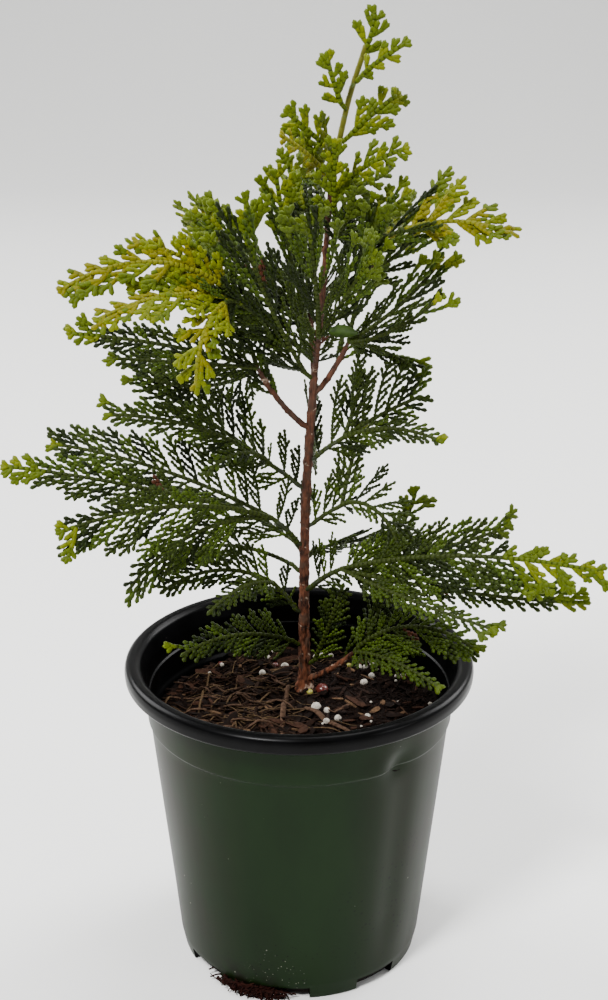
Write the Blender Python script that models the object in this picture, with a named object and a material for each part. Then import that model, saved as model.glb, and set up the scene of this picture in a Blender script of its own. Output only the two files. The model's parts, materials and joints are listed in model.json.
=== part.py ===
"""Young golden hinoki cypress in its thermoformed nursery pot.

Sizes are in millimetres and angles in degrees, turned into metres when a mesh is made.
The origin is the centre of the pot's underside, +Z is up and the plant's front looks along -Y.
A heading is measured from +X towards +Y: 0 is right, 90 is back, 180 is left, -90 is front.
"""
import math
import random
from collections import namedtuple

import bmesh
import bpy
from mathutils import Matrix, Vector
from mathutils.bvhtree import BVHTree

MM = 0.001
GAP = 0.3

# Pot: rim and height set its size, the rest is its moulded outline
POT_HEIGHT = 152.0
RIM_RADIUS = 82.5
FOOT_RADIUS = 57.6
WALL = 1.2
FLOOR = 1.6
CHAMFER_HEIGHT = 8.4
CHAMFER_STEP = 1.7
STEP_HEIGHT = 122.6
STEP_RADIUS = 71.3
COLLAR_RADIUS = 73.6
LIP_HEIGHT = 8.4
POT_SIDES = 32
NOTCHES = 8
NOTCH_TURN = 22.0
NOTCH_FIRST = -6.0
NOTCH_HEIGHT = 6.5
NOTCH_DEPTH = 7.0

# Soil: a low mound inside the pot
SOIL_EDGE = 122.0
SOIL_TOP = 128.4
MOUND_RADIUS = 20.0
SHOULDER_PLACE = 0.6
SHOULDER_RISE = 1.0
SOIL_SHRINK = 0.17
SOIL_SIDES = 32

# Trunk: route from the soil to the leader, and its thickness
TRUNK_FOOT = SOIL_TOP + GAP
TRUNK_WAY = (
    (TRUNK_FOOT, 2.8, 11.0),
    (176.0, 2.3, 8.0),
    (228.0, 3.2, 6.0),
    (280.0, 6.3, 3.5),
    (327.0, 10.6, 4.0),
    (370.0, 13.9, 6.0),
    (403.0, 20.0, 6.0),
    (425.0, 26.4, 4.0),
)
FORK_HEIGHT = 282.0
FOOT_RADIUS_TRUNK = 2.6
FORK_RADIUS = 1.85
ABOVE_FORK_RADIUS = 1.45
LEADER_RADIUS = 1.0
FORK_TAPER = 4.0
FLARE = 2.3
FLARE_HEIGHT = 5.0
TRUNK_SIDES = 10
TRUNK_STEPS = 20
TRUNK_CROWDING = 1.15

# Boughs: height on the trunk, heading, rise at the foot and at the tip, length, thickness
BOUGH_SIDES = 6
BOUGH_SPAN = 6.0
Bough = namedtuple("Bough", "height heading rise end length foot tip")
BOUGHS = {
    "bough_right_foot": Bough(136, -32, 30, 48, 27, 1.5, 1.2),
    "bough_left_low": Bough(172, -156, 62, 48, 16, 1.3, 1.1),
    "bough_right_low": Bough(184, -48, 45, 32, 24, 1.5, 1.2),
    "bough_left_mid": Bough(207, -148, 58, 40, 17, 1.5, 1.2),
    "bough_back_low": Bough(208, 88, 36, 30, 16, 1.4, 1.1),
    "bough_right_mid": Bough(216, -10, 45, 30, 14, 1.2, 1.0),
    "bough_left_high": Bough(235, -175, 45, 35, 13, 1.3, 1.1),
    "bough_right_high": Bough(249, 0, 45, 30, 13, 1.3, 1.1),
    "bough_left": Bough(265, -156, 42, 62, 34, 1.4, 1.1),
    "bough_right": Bough(282, 14, 50, 64, 21, 1.45, 1.15),
    "bough_front": Bough(292, -88, 35, 42, 30, 1.3, 1.1),
    "bough_back": Bough(289, 95, 45, 60, 28, 1.5, 1.2),
    "bough_gold_left": Bough(297, -147, 40, 38, 44, 1.5, 1.2),
}

# Fans: a midrib that turns by its drift and bends from rise to end, with side sprays as long
# as upper and lower; the flat of the fan faces the heading face, tipped back by tilt
Fan = namedtuple("Fan", "heading drift rise end length upper lower face tilt bare", defaults=(0.0,))
FRONT = -90

# Masses: the bearer, a height where that is the trunk, and the fans on one stem
MASSES = {
    "mass_left_pot": ("trunk", 154, (
        Fan(-150, 19, 30, -8, 72, 14, 16, FRONT, 35),)),
    "mass_right_foot": ("trunk", 144, (
        Fan(-36, -11, 67, 70, 52, 14, 12, FRONT, 20),)),
    "mass_right_pot": ("bough_right_foot", None, (
        Fan(-22, -12, 54, -27, 73, 14, 26, FRONT, 40),
        Fan(-55, 14, 22, -18, 60, 8, 12, FRONT, 50),
        Fan(24, 27, 46, 68, 40, 12, 14, FRONT, 15))),
    "mass_left_low": ("bough_left_low", None, (
        Fan(-160, 20, 38, -22, 66, 18, 14, FRONT, 20),
        Fan(-120, -6, 30, -20, 58, 8, 12, FRONT, 45))),
    "mass_left_mid": ("bough_left_mid", None, (
        Fan(172, -5, 28, 4, 112, 28, 24, FRONT, 15),
        Fan(-163, -10, 22, 10, 128, 18, 22, FRONT, 35, 0.36),
        Fan(-145, -12, 28, -14, 110, 16, 34, FRONT, 22, 0.34),
        Fan(-152, 0, 16, -50, 84, 14, 24, FRONT, 20, 0.22))),
    "mass_left_inner": ("trunk", 192, (
        Fan(158, -12, 22, -42, 78, 14, 16, FRONT, 5, 0.35),)),
    "mass_left_high": ("bough_left_high", None, (
        Fan(167, 0, 35, 26, 79, 24, 18, FRONT, 10),
        Fan(-158, -14, 42, 2, 86, 18, 16, FRONT, 30, 0.3),
        Fan(-134, -4, 52, -38, 48, 10, 8, FRONT, 40))),
    "mass_left_bough": ("bough_left", None, (
        Fan(-179, 8, 18, 6, 87, 14, 16, FRONT, 20),
        Fan(-150, -12, 12, 8, 72, 12, 14, FRONT, 45, 0.25),
        Fan(142, 30, -38, 20, 68, 12, 14, FRONT, 5),
        Fan(125, 20, 60, 52, 54, 18, 18, FRONT, 15))),
    "mass_gold_left": ("bough_gold_left", None, (
        Fan(-148, -13, 50, -32, 90, 15, 26, FRONT, 30),
        Fan(-136, -6, 24, -18, 78, 12, 24, FRONT, 45),
        Fan(-163, 10, 52, 14, 58, 14, 18, FRONT, 35),
        Fan(-120, 14, 20, -90, 60, 17, 17, FRONT, 20))),
    "mass_lime_left": ("trunk", 308, (
        Fan(176, -8, 53, 37, 75, 18, 14, FRONT, 10),
        Fan(150, -14, 32, 30, 74, 16, 16, FRONT, 25),
        Fan(-170, 10, 74, 82, 74, 14, 14, FRONT, 15))),
    "mass_crown_left": ("trunk", 288, (
        Fan(-124, -44, 50, 80, 88, 26, 26, FRONT, 20),
        Fan(-165, 0, 40, 54, 80, 20, 18, FRONT, 15))),
    "mass_crown_front": ("bough_front", None, (
        Fan(-86, -34, 50, 82, 66, 22, 22, FRONT, 30),
        Fan(-58, 10, 46, 52, 60, 18, 18, FRONT, 40))),
    "mass_right_bough": ("bough_right", None, (
        Fan(-30, 60, 34, 50, 61, 16, 16, FRONT, 15),
        Fan(-56, 29, 12, 46, 62, 12, 14, FRONT, 40),
        Fan(-12, 0, -6, -34, 37, 10, 9, FRONT, 10),
        Fan(-80, 50, 60, 84, 68, 20, 20, FRONT, 25))),
    "mass_gold_right": ("trunk", 322, (
        Fan(-30, 15, 66, -18, 96, 20, 18, FRONT, 35),
        Fan(6, 15, 24, 56, 72, 14, 14, FRONT, 10))),
    "mass_right_high": ("bough_right_high", None, (
        Fan(-8, -10, 38, 26, 45, 34, 18, FRONT, 15),
        Fan(-30, 0, 30, -16, 54, 12, 12, FRONT, 40, 0.2),
        Fan(45, 0, 62, 70, 36, 12, 12, FRONT, 10))),
    "mass_right_mid": ("bough_right_mid", None, (
        Fan(-40, -8, 34, -70, 45, 22, 10, FRONT, 30),
        Fan(60, -50, 70, 76, 42, 12, 10, FRONT, 10))),
    "mass_right_low": ("bough_right_low", None, (
        Fan(-16, 4, -8, 3, 116, 24, 12, FRONT, 25, 0.06),
        Fan(8, 8, 6, 14, 86, 20, 16, FRONT, 10),
        Fan(-27, 6, 23, -5, 126, 14, 30, FRONT, 25, 0.15),
        Fan(44, -31, -10, 84, 62, 12, 12, FRONT, 15),
        Fan(-54, 33, 0, -10, 88, 10, 12, FRONT, 55, 0.2))),
    "mass_leader": ("leader", None, (
        Fan(-22, 38, 60, 92, 21, 10, 10, FRONT, 0),)),
    "mass_top_right": ("trunk", 416, (
        Fan(-50, 38, 37, 31, 30, 8, 7, FRONT, 15),)),
    "mass_top_left": ("trunk", 405, (
        Fan(-130, -60, 62, 80, 25, 10, 9, FRONT, 10),)),
    "mass_upper_left": ("trunk", 385, (
        Fan(-122, -46, 32, 42, 34, 14, 12, FRONT, 20),)),
    "mass_upper_right": ("trunk", 391, (
        Fan(-12, 50, 48, 27, 32, 12, 14, FRONT, 5),)),
    "mass_side_right": ("trunk", 369, (
        Fan(-60, 42, 40, 20, 44, 12, 12, FRONT, 25),
        Fan(20, 22, 0, 28, 31, 9, 8, FRONT, 5))),
    "mass_gold_top": ("trunk", 375, (
        Fan(-124, -10, 40, 26, 40, 11, 10, FRONT, 30),)),
    "mass_shoots": ("trunk", 348, (
        Fan(152, -14, 24, 58, 36, 12, 12, FRONT, 10),
        Fan(40, -29, 10, 37, 42, 14, 14, FRONT, 10),
        Fan(-98, 10, 58, 84, 50, 13, 13, FRONT, 10),
        Fan(-60, -12, 40, 66, 34, 11, 11, FRONT, 15))),
    "mass_back_low": ("bough_back_low", None, (
        Fan(86, 0, 18, -12, 78, 20, 22, 0, 4),)),
    "mass_back_left": ("trunk", 203, (
        Fan(140, 8, 20, -8, 92, 22, 22, 33, 56),)),
    "mass_back_right": ("trunk", 199, (
        Fan(44, -6, -2, -28, 92, 22, 22, 150, 53),)),
    "mass_back_mid": ("trunk", 250, (
        Fan(86, 2, 30, 6, 70, 20, 18, 0, 6),)),
    "mass_crown_back": ("bough_back", None, (
        Fan(140, 10, 28, 22, 82, 22, 20, 90, 30),
        Fan(96, 0, 40, 30, 80, 24, 22, 60, 35),
        Fan(48, -8, 30, 24, 80, 22, 20, 90, 30),
        Fan(110, -10, 74, 70, 66, 20, 20, 90, 20))),
    "mass_back_upper": ("trunk", 362, (
        Fan(112, 10, 40, 50, 48, 14, 14, 90, 25),)),
}

# Growth rule of a fan
STEM_LENGTH = 4.0
STEM_RISE = 40.0
STEM_SIDES = 5
RIB_SIDES = 3
MIDRIB_FOOT = 1.15
MIDRIB_TIP = 0.6
MIDRIB_SPAN = 21.0
STEM_SWELLS = (0.9, 1.3, 1.1)
STEM_MIDDLE = 0.6
LEADER_STEM = 2.0
FAN_START = 0.7
RIB_SHRINK = 0.93
LEAST_RIB = 0.3
RIB_CUT = 0.5
SIDE_SPACING = 17.0
SIDE_FIRST = 0.14
SIDE_LAST = 0.93
SIDE_ANGLES = (60.0, 36.0)
SIDE_BEND = 20.0
SIDE_TIP_OVER = 8.0
SIDE_VARIATION = (0.9, 1.12)
UPRIGHT_ANGLES = (38.0, 24.0)
UPRIGHT_REACH = 1.3
UPRIGHT = ("mass_lime_left", "mass_crown_left", "mass_crown_front", "mass_right_bough",
           "mass_gold_right", "mass_crown_back")

# A side spray as a blade: teeth in turn left and right, a ridge along the middle
TOOTH_SPACING = 8.0
TOOTH_NARROW = 0.34
TOOTH_LEAN = 0.4
BLADE_SHARE = 0.34
BLADE_WIDTHS = (2.6, 8.5)
BLADE_EVEN_WIDTH = 0.55
BLADE_WIDEST = 0.3
BLADE_RIDGE = 0.9
BLADE_UNDER = 0.35
BLADE_THINNING = 0.4
ROOT_WIDTH = 0.4
ROOT_DEPTH = 0.5
TIP_BLADE = 11.0
TIP_OVERLAP = 0.9
REACH_AT_FOOT = 0.12
REACH_FULL = 0.34
LEAST_REACH = 0.1
CLEARANCE = 0.35
SHORTEN = 0.6
SHORTEST = 5.0

COLOURS = {
    "pot": ((0.020, 0.034, 0.016), 0.42),
    "soil": ((0.030, 0.016, 0.010), 0.95),
    "bark": ((0.130, 0.045, 0.025), 0.85),
    "leaf": ((0.030, 0.070, 0.010), 0.55),
    "lime": ((0.220, 0.330, 0.020), 0.50),
    "gold": ((0.460, 0.380, 0.030), 0.50),
}
TINTS = {
    "mass_gold_left": "gold",
    "mass_gold_right": "gold",
    "mass_gold_top": "gold",
    "mass_lime_left": "lime",
    "mass_leader": "lime",
    "mass_top_right": "lime",
    "mass_top_left": "lime",
    "mass_upper_left": "lime",
    "mass_upper_right": "lime",
    "mass_side_right": "lime",
    "mass_shoots": "lime",
    "mass_back_upper": "lime",
}


def clear_scene():
    for old in list(bpy.data.objects):
        bpy.data.objects.remove(old, do_unlink=True)


def material(name):
    """The plain finish of one kind of piece."""
    found = bpy.data.materials.get(name)
    if found:
        return found
    colour, roughness = COLOURS[name]
    made = bpy.data.materials.new(name)
    made.use_nodes = True
    shader = made.node_tree.nodes["Principled BSDF"]
    shader.inputs["Base Color"].default_value = (*colour, 1.0)
    shader.inputs["Roughness"].default_value = roughness
    shader.inputs["Metallic"].default_value = 0.0
    return made


def new_object(name, points, faces, finish, collection=None):
    """A closed mesh object from points in millimetres."""
    work = bmesh.new()
    corners = [work.verts.new(Vector(point) * MM) for point in points]
    for face in faces:
        work.faces.new([corners[index] for index in face])
    bmesh.ops.triangulate(work, faces=work.faces)
    bmesh.ops.recalc_face_normals(work, faces=work.faces)
    mesh = bpy.data.meshes.new(name)
    work.to_mesh(mesh)
    work.free()
    mesh.materials.append(material(finish))
    made = bpy.data.objects.new(name, mesh)
    (collection or bpy.context.scene.collection).objects.link(made)
    return made


def apply_modifiers(target):
    """Keeps what the modifiers make and takes them off."""
    depsgraph = bpy.context.evaluated_depsgraph_get()
    mesh = bpy.data.meshes.new_from_object(target.evaluated_get(depsgraph))
    target.modifiers.clear()
    target.data = mesh


def turned(profile, sides):
    """Points and faces of a closed outline (radius, height) turned about Z."""
    points = []
    rings = []
    for radius, height in profile:
        if radius == 0:
            rings.append([len(points)] * sides)
            points.append((0, 0, height))
            continue
        ring = []
        for side in range(sides):
            angle = 2 * math.pi * side / sides
            ring.append(len(points))
            points.append((radius * math.cos(angle), radius * math.sin(angle), height))
        rings.append(ring)
    faces = []
    for low, high in zip(rings, rings[1:]):
        for side in range(sides):
            after = (side + 1) % sides
            face = [low[side], low[after], high[after], high[side]]
            corners = list(dict.fromkeys(face))
            if len(corners) > 2:
                faces.append(corners)
    return points, faces


def way(heading, rise):
    """Unit vector of a heading and a rise."""
    turn = math.radians(heading)
    lift = math.radians(rise)
    return Vector((math.cos(lift) * math.cos(turn), math.cos(lift) * math.sin(turn), math.sin(lift)))


def across(direction):
    """Two unit vectors square to a direction and to each other."""
    side = direction.cross(Vector((0, 0, 1)))
    if side.length < 0.05:
        side = direction.cross(Vector((0, 1, 0)))
    side.normalize()
    return side, side.cross(direction).normalized()


def limb(name, path, radii, sides, finish, level_foot=False, collection=None, face=None):
    """A tapering limb along a path, with flat ends; face turns its first corner."""
    points = []
    for index, centre in enumerate(path):
        before = path[max(index - 1, 0)]
        after = path[min(index + 1, len(path) - 1)]
        direction = (after - before).normalized()
        if level_foot and index == 0:
            direction = Vector((0, 0, 1))
        side, up = across(direction)
        if face:
            side = (face - direction * face.dot(direction)).normalized()
            up = side.cross(direction)
        for corner in range(sides):
            angle = 2 * math.pi * corner / sides
            spoke = side * math.cos(angle) + up * math.sin(angle)
            points.append(centre + spoke * radii[index])
    faces = [list(range(sides)), list(range(len(points) - sides, len(points)))]
    for ring in range(len(path) - 1):
        start = ring * sides
        for corner in range(sides):
            after = (corner + 1) % sides
            faces.append([start + corner, start + after,
                          start + sides + after, start + sides + corner])
    return new_object(name, points, faces, finish, collection)


def pot_profile():
    """Outline of wall, lip and floor, from the underside outwards and back inside."""
    lip_foot = POT_HEIGHT - LIP_HEIGHT
    outside = [
        (0, 0),
        (FOOT_RADIUS, 0),
        (FOOT_RADIUS + CHAMFER_STEP, CHAMFER_HEIGHT),
        (STEP_RADIUS, STEP_HEIGHT),
        (STEP_RADIUS + 0.9, STEP_HEIGHT + 1.2),
        (COLLAR_RADIUS, lip_foot),
        (RIM_RADIUS - 1.4, lip_foot),
        (RIM_RADIUS - 0.3, lip_foot + 1.0),
        (RIM_RADIUS, lip_foot + 4.4),
        (RIM_RADIUS - 0.6, POT_HEIGHT - 1.4),
        (RIM_RADIUS - 2.2, POT_HEIGHT),
    ]
    inside = [
        (COLLAR_RADIUS + 3.2, POT_HEIGHT),
        (COLLAR_RADIUS + 1.6, POT_HEIGHT - 1.4),
        (COLLAR_RADIUS - WALL, lip_foot - 1.0),
        (STEP_RADIUS + 0.9 - WALL, STEP_HEIGHT + 1.2),
        (STEP_RADIUS - WALL, STEP_HEIGHT - 0.4),
        (FOOT_RADIUS + CHAMFER_STEP - WALL, CHAMFER_HEIGHT),
        (FOOT_RADIUS - WALL + 0.4, FLOOR),
        (0, FLOOR),
    ]
    return outside + inside


def pot():
    """The pot, with drain notches cut into its foot."""
    points, faces = turned(pot_profile(), POT_SIDES)
    made = new_object("pot", points, faces, "pot")
    cutters = bpy.data.collections.new("notch_cutters")
    middle = FOOT_RADIUS + CHAMFER_STEP
    half = math.radians(NOTCH_TURN / 2)
    for index in range(NOTCHES):
        turn = math.radians(NOTCH_FIRST + index * 360 / NOTCHES)
        corners = []
        for height in (-2.0, NOTCH_HEIGHT):
            for radius, edge in ((middle - NOTCH_DEPTH, -half), (middle + 4, -half),
                                 (middle + 4, half), (middle - NOTCH_DEPTH, half)):
                angle = turn + edge
                corners.append((radius * math.cos(angle), radius * math.sin(angle), height))
        box = [(0, 1, 2, 3), (4, 5, 6, 7), (0, 1, 5, 4), (1, 2, 6, 5), (2, 3, 7, 6), (3, 0, 4, 7)]
        new_object("notch_cutter_%d" % index, corners, box, "pot", cutters)
    cut = made.modifiers.new("notches", "BOOLEAN")
    cut.operation = "DIFFERENCE"
    cut.operand_type = "COLLECTION"
    cut.collection = cutters
    cut.solver = "EXACT"
    apply_modifiers(made)
    for cutter in list(cutters.objects):
        bpy.data.objects.remove(cutter, do_unlink=True)
    bpy.data.collections.remove(cutters)
    made.data.shade_smooth()
    made.data.set_sharp_from_angle(angle=math.radians(28))
    return made


def soil():
    """The potting mix, clear of wall and floor."""
    wall_gap = WALL + GAP + SOIL_SHRINK
    slope = (STEP_RADIUS - FOOT_RADIUS - CHAMFER_STEP) / (STEP_HEIGHT - CHAMFER_HEIGHT)
    edge_radius = STEP_RADIUS - wall_gap - slope * (STEP_HEIGHT - SOIL_EDGE)
    profile = [
        (0, FLOOR + GAP),
        (FOOT_RADIUS - wall_gap - SOIL_SHRINK, FLOOR + GAP),
        (FOOT_RADIUS + CHAMFER_STEP - wall_gap - SOIL_SHRINK, CHAMFER_HEIGHT),
        (edge_radius, SOIL_EDGE),
        (MOUND_RADIUS + (edge_radius - MOUND_RADIUS) * SHOULDER_PLACE,
         SOIL_TOP + (SOIL_EDGE - SOIL_TOP) * SHOULDER_PLACE + SHOULDER_RISE),
        (MOUND_RADIUS, SOIL_TOP),
        (0, SOIL_TOP),
    ]
    points, faces = turned(profile, SOIL_SIDES)
    return new_object("soil", points, faces, "soil")


def trunk_point(share):
    """Point of the trunk's centre line, by a smooth curve through its route."""
    spans = len(TRUNK_WAY) - 1
    span = min(int(share * spans), spans - 1)
    local = share * spans - span
    places = []
    for index in (span - 1, span, span + 1, span + 2):
        height, x, y = TRUNK_WAY[min(max(index, 0), spans)]
        places.append(Vector((x, y, height)))
    before, start, end, after = places
    square = local * local
    cube = square * local
    return 0.5 * (2 * start + (end - before) * local
                  + (2 * before - 5 * start + 4 * end - after) * square
                  + (3 * start - before - 3 * end + after) * cube)


def trunk_radius(height):
    """Half thickness of the trunk at a height, with the flare at its foot."""
    flare = FLARE * math.exp(-(height - TRUNK_FOOT) / FLARE_HEIGHT)
    if height < FORK_HEIGHT:
        share = (height - TRUNK_FOOT) / (FORK_HEIGHT - TRUNK_FOOT)
        return FOOT_RADIUS_TRUNK + (FORK_RADIUS - FOOT_RADIUS_TRUNK) * share + flare
    top = TRUNK_WAY[-1][0]
    share = (height - FORK_HEIGHT) / (top - FORK_HEIGHT)
    step = (FORK_RADIUS - ABOVE_FORK_RADIUS) * math.exp(-(height - FORK_HEIGHT) / FORK_TAPER)
    return ABOVE_FORK_RADIUS + (LEADER_RADIUS - ABOVE_FORK_RADIUS) * share + step


def trunk_share(height):
    """Share of the route at which the trunk reaches a height."""
    low, high = 0.0, 1.0
    for _ in range(30):
        middle = (low + high) / 2
        if trunk_point(middle).z < height:
            low = middle
        else:
            high = middle
    return low


def trunk():
    """The trunk, from its flat cut on the soil to the leader's tip."""
    shares = [(step / TRUNK_STEPS) ** TRUNK_CROWDING for step in range(TRUNK_STEPS + 1)]
    path = [trunk_point(share) for share in shares]
    radii = [trunk_radius(point.z) for point in path]
    return limb("trunk", path, radii, TRUNK_SIDES, "bark", level_foot=True)


def curve_path(foot, heading, drift, rise, end, length, steps):
    """Points along a line that turns by its drift and bends from rise to end."""
    path = [foot.copy()]
    for step in range(steps):
        share = (step + 0.5) / steps
        direction = way(heading + drift * share, rise + (end - rise) * share)
        path.append(path[-1] + direction * (length / steps))
    return path


def foot_on_trunk(height, heading, rise, radius):
    """Where a limb of a radius starts, clear of the trunk."""
    centre = trunk_point(trunk_share(height))
    reach = trunk_radius(height) + GAP + radius * abs(math.sin(math.radians(rise))) + 0.1
    return centre + way(heading, 0) * reach


def bough(name):
    """One bough as a single tapering limb; gives back its object and its tip."""
    data = BOUGHS[name]
    foot = foot_on_trunk(data.height, data.heading, data.rise, data.foot)
    steps = max(3, round(data.length / BOUGH_SPAN))
    path = curve_path(foot, data.heading, 0, data.rise, data.end, data.length, steps)
    radii = [data.foot + (data.tip - data.foot) * index / steps for index in range(steps + 1)]
    made = limb(name, path, radii, BOUGH_SIDES, "bark")
    return made, path[-1], (path[-1] - path[-2]).normalized()


def fan_frame(fan, path, index):
    """Direction, upper side and face of a fan at one point of its midrib."""
    before = path[max(index - 1, 0)]
    after = path[min(index + 1, len(path) - 1)]
    direction = (after - before).normalized()
    facing = way(fan.face, fan.tilt)
    face = (facing - direction * facing.dot(direction)).normalized()
    side = face.cross(direction)
    if math.cos(math.radians(fan.heading)) * math.cos(math.radians(fan.face + 90)) < 0:
        side = -side
    return direction, side, face


def side_reach(share):
    """How much of its full length a side spray has at a share of the midrib."""
    grow = min(1.0, (share + REACH_AT_FOOT) / REACH_FULL) ** 0.8
    return grow * (1.0 - share) ** 0.5 + LEAST_REACH


def blade(name, foot, direction, face, length, bend, collection, finish):
    """A flat spray of scale leaves: a toothed blade with a ridge along its upper face."""
    half = min(max(BLADE_SHARE * length, BLADE_WIDTHS[0]), BLADE_WIDTHS[1])
    steps = max(3, round(length / TOOTH_SPACING))
    stride = length / steps
    turn = Matrix.Rotation(math.radians(bend / steps), 3, face)
    points = []
    centre = foot.copy()
    heading = direction.copy()
    for step in range(steps):
        share = step / steps
        bulge = math.sin(math.pi * min(1.0, share + 0.5 - BLADE_WIDEST))
        width = half * (BLADE_EVEN_WIDTH + (1 - BLADE_EVEN_WIDTH) * bulge)
        across_way = face.cross(heading)
        left = width * (1.0 if step % 2 else TOOTH_NARROW)
        right = width * (TOOTH_NARROW if step % 2 else 1.0)
        if step == 0:
            left = right = ROOT_WIDTH
        depth = 1.0 - BLADE_THINNING * share if step else ROOT_DEPTH
        forward = heading * stride * TOOTH_LEAN
        low = centre - face * BLADE_UNDER * depth
        points.append(low + across_way * left + (forward if left == width else Vector()))
        points.append(low - across_way * right + (forward if right == width else Vector()))
        points.append(centre + face * BLADE_RIDGE * depth)
        heading = turn @ heading
        centre = centre + heading * stride
    points.append(centre)
    faces = [(0, 1, 2)]
    for step in range(steps - 1):
        start = step * 3
        for corner, after in ((0, 1), (1, 2), (2, 0)):
            faces.append((start + corner, start + after, start + 3 + after, start + 3 + corner))
    last = (steps - 1) * 3
    tip = steps * 3
    faces += [(last, last + 1, tip), (last + 1, last + 2, tip), (last + 2, last, tip)]
    return new_object(name, points, faces, finish, collection)


def tree_of(thing):
    """Search tree over an object's triangles, in millimetres."""
    corners = [vertex.co / MM for vertex in thing.data.vertices]
    faces = [tuple(face.vertices) for face in thing.data.polygons]
    return BVHTree.FromPolygons(corners, faces), corners


def is_clear(thing, others):
    """True where a piece stays clear of every other tree."""
    own, corners = tree_of(thing)
    for tree, points in others:
        if own.overlap(tree):
            return False
        for corner in corners:
            if tree.find_nearest(corner, CLEARANCE)[0] is not None:
                return False
        for point in points:
            if own.find_nearest(point, CLEARANCE)[0] is not None:
                return False
    return True


def mass_foot(name, tips):
    """Where the stem of a mass starts, and its direction."""
    bearer, height, fans = MASSES[name]
    lean = sum((way(fan.heading, fan.rise) for fan in fans), Vector())
    heading = math.degrees(math.atan2(lean.y, lean.x))
    if bearer == "trunk":
        return foot_on_trunk(height, heading, STEM_RISE, MIDRIB_FOOT), way(heading, STEM_RISE)
    tip, direction = tips[bearer]
    return tip + direction * (GAP + 0.05), direction


def midribs(name, tips, others):
    """Stem and midribs of a mass, as loose objects of its collection."""
    collection = bpy.data.collections.new(name + "_twigs")
    finish = TINTS.get(name, "leaf")
    foot, direction = mass_foot(name, tips)
    length = STEM_LENGTH if name != "mass_leader" else LEADER_STEM
    places = [foot + direction * length * share for share in (0, STEM_MIDDLE, 1)]
    stem = limb(name, places, [MIDRIB_FOOT * swell for swell in STEM_SWELLS], STEM_SIDES, finish)
    paths = []
    for index, fan in enumerate(MASSES[name][2]):
        share = 1.0
        start = foot + direction * length * FAN_START
        while share > LEAST_RIB:
            reach = (fan.length - length) * share
            steps = max(3, round(reach / MIDRIB_SPAN))
            path = curve_path(start, fan.heading, fan.drift, fan.rise, fan.end, reach, steps)
            cut = path[:-1] + [path[-1].lerp(path[-2], RIB_CUT)]
            radii = [MIDRIB_FOOT + (MIDRIB_TIP - MIDRIB_FOOT) * step / steps
                     for step in range(steps + 1)]
            rib = limb("%s_rib_%d" % (name, index), cut, radii, RIB_SIDES, finish,
                       collection=collection, face=way(fan.face, fan.tilt))
            if is_clear(rib, others):
                paths.append((fan, path))
                break
            bpy.data.objects.remove(rib, do_unlink=True)
            share *= RIB_SHRINK
    return stem, collection, paths


def side_blades(name, collection, paths, others):
    """Side sprays of every fan of a mass; one that would touch something is cut or skipped."""
    chance = random.Random(name)
    finish = TINTS.get(name, "leaf")
    angles = UPRIGHT_ANGLES if name in UPRIGHT else SIDE_ANGLES
    gain = UPRIGHT_REACH if name in UPRIGHT else 1.0
    ribs = [tree_of(piece) for piece in collection.objects]
    done = []
    for number, (fan, path) in enumerate(paths):
        near = done + ribs[:number] + ribs[number + 1:]
        grown = []
        count = max(3, round(fan.length / SIDE_SPACING))
        for index in range(count + 1):
            last = index == count
            share = SIDE_FIRST + (1 - SIDE_FIRST) * index / count
            if share < fan.bare:
                continue
            place = min(share, SIDE_LAST if not last else 1.0) * (len(path) - 1)
            span = min(int(place), len(path) - 2)
            spot = path[span].lerp(path[span + 1], place - span)
            direction, side, face = fan_frame(fan, path, span if place - span < 0.5 else span + 1)
            hand = 1 if index % 2 else -1
            reach = (fan.upper if hand > 0 else fan.lower) * side_reach(share) * gain
            reach *= chance.uniform(*SIDE_VARIATION)
            angle = angles[0] + (angles[1] - angles[0]) * share
            tip_over = chance.uniform(-SIDE_TIP_OVER, SIDE_TIP_OVER)
            if last:
                back = TIP_BLADE / (path[-1] - path[-2]).length
                spot = path[-1].lerp(path[-2], min(TIP_OVERLAP, back))
                reach = (path[-1] - spot).length
                angle = 0
            turn = math.radians(angle)
            leave = direction * math.cos(turn) + side * hand * math.sin(turn)
            leave = Matrix.Rotation(math.radians(tip_over), 3, direction) @ leave
            upward = (face - leave * face.dot(leave)).normalized()
            spin = -SIDE_BEND if side.dot(upward.cross(leave)) * hand > 0 else SIDE_BEND
            for length in (reach, reach * SHORTEN):
                if length < SHORTEST:
                    break
                spray = blade("%s_spray_%d_%d" % (name, number, index), spot, leave, upward,
                              length, 0 if last else spin, collection, finish)
                if is_clear(spray, others + near):
                    grown.append(tree_of(spray))
                    break
                bpy.data.objects.remove(spray, do_unlink=True)
        done += grown


def keep_largest_shell(mesh):
    """Drops loose scraps and fills sealed hollows, leaving the outer shell alone."""
    work = bmesh.new()
    work.from_mesh(mesh)
    left = set(work.faces)
    shells = []
    while left:
        front = [left.pop()]
        shell = []
        while front:
            face = front.pop()
            shell.append(face)
            for edge in face.edges:
                for other in edge.link_faces:
                    if other in left:
                        left.remove(other)
                        front.append(other)
        shells.append(shell)
    shells.sort(key=len)
    scraps = [face for shell in shells[:-1] for face in shell]
    bmesh.ops.delete(work, geom=scraps, context="FACES")
    bmesh.ops.triangulate(work, faces=work.faces)
    work.to_mesh(mesh)
    work.free()


def fuse(stem, collection):
    """Joins a mass into one solid by a Boolean union on its collection."""
    join = stem.modifiers.new("join", "BOOLEAN")
    join.operation = "UNION"
    join.operand_type = "COLLECTION"
    join.collection = collection
    join.solver = "EXACT"
    apply_modifiers(stem)
    for piece in list(collection.objects):
        bpy.data.objects.remove(piece, do_unlink=True)
    bpy.data.collections.remove(collection)
    keep_largest_shell(stem.data)


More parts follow.
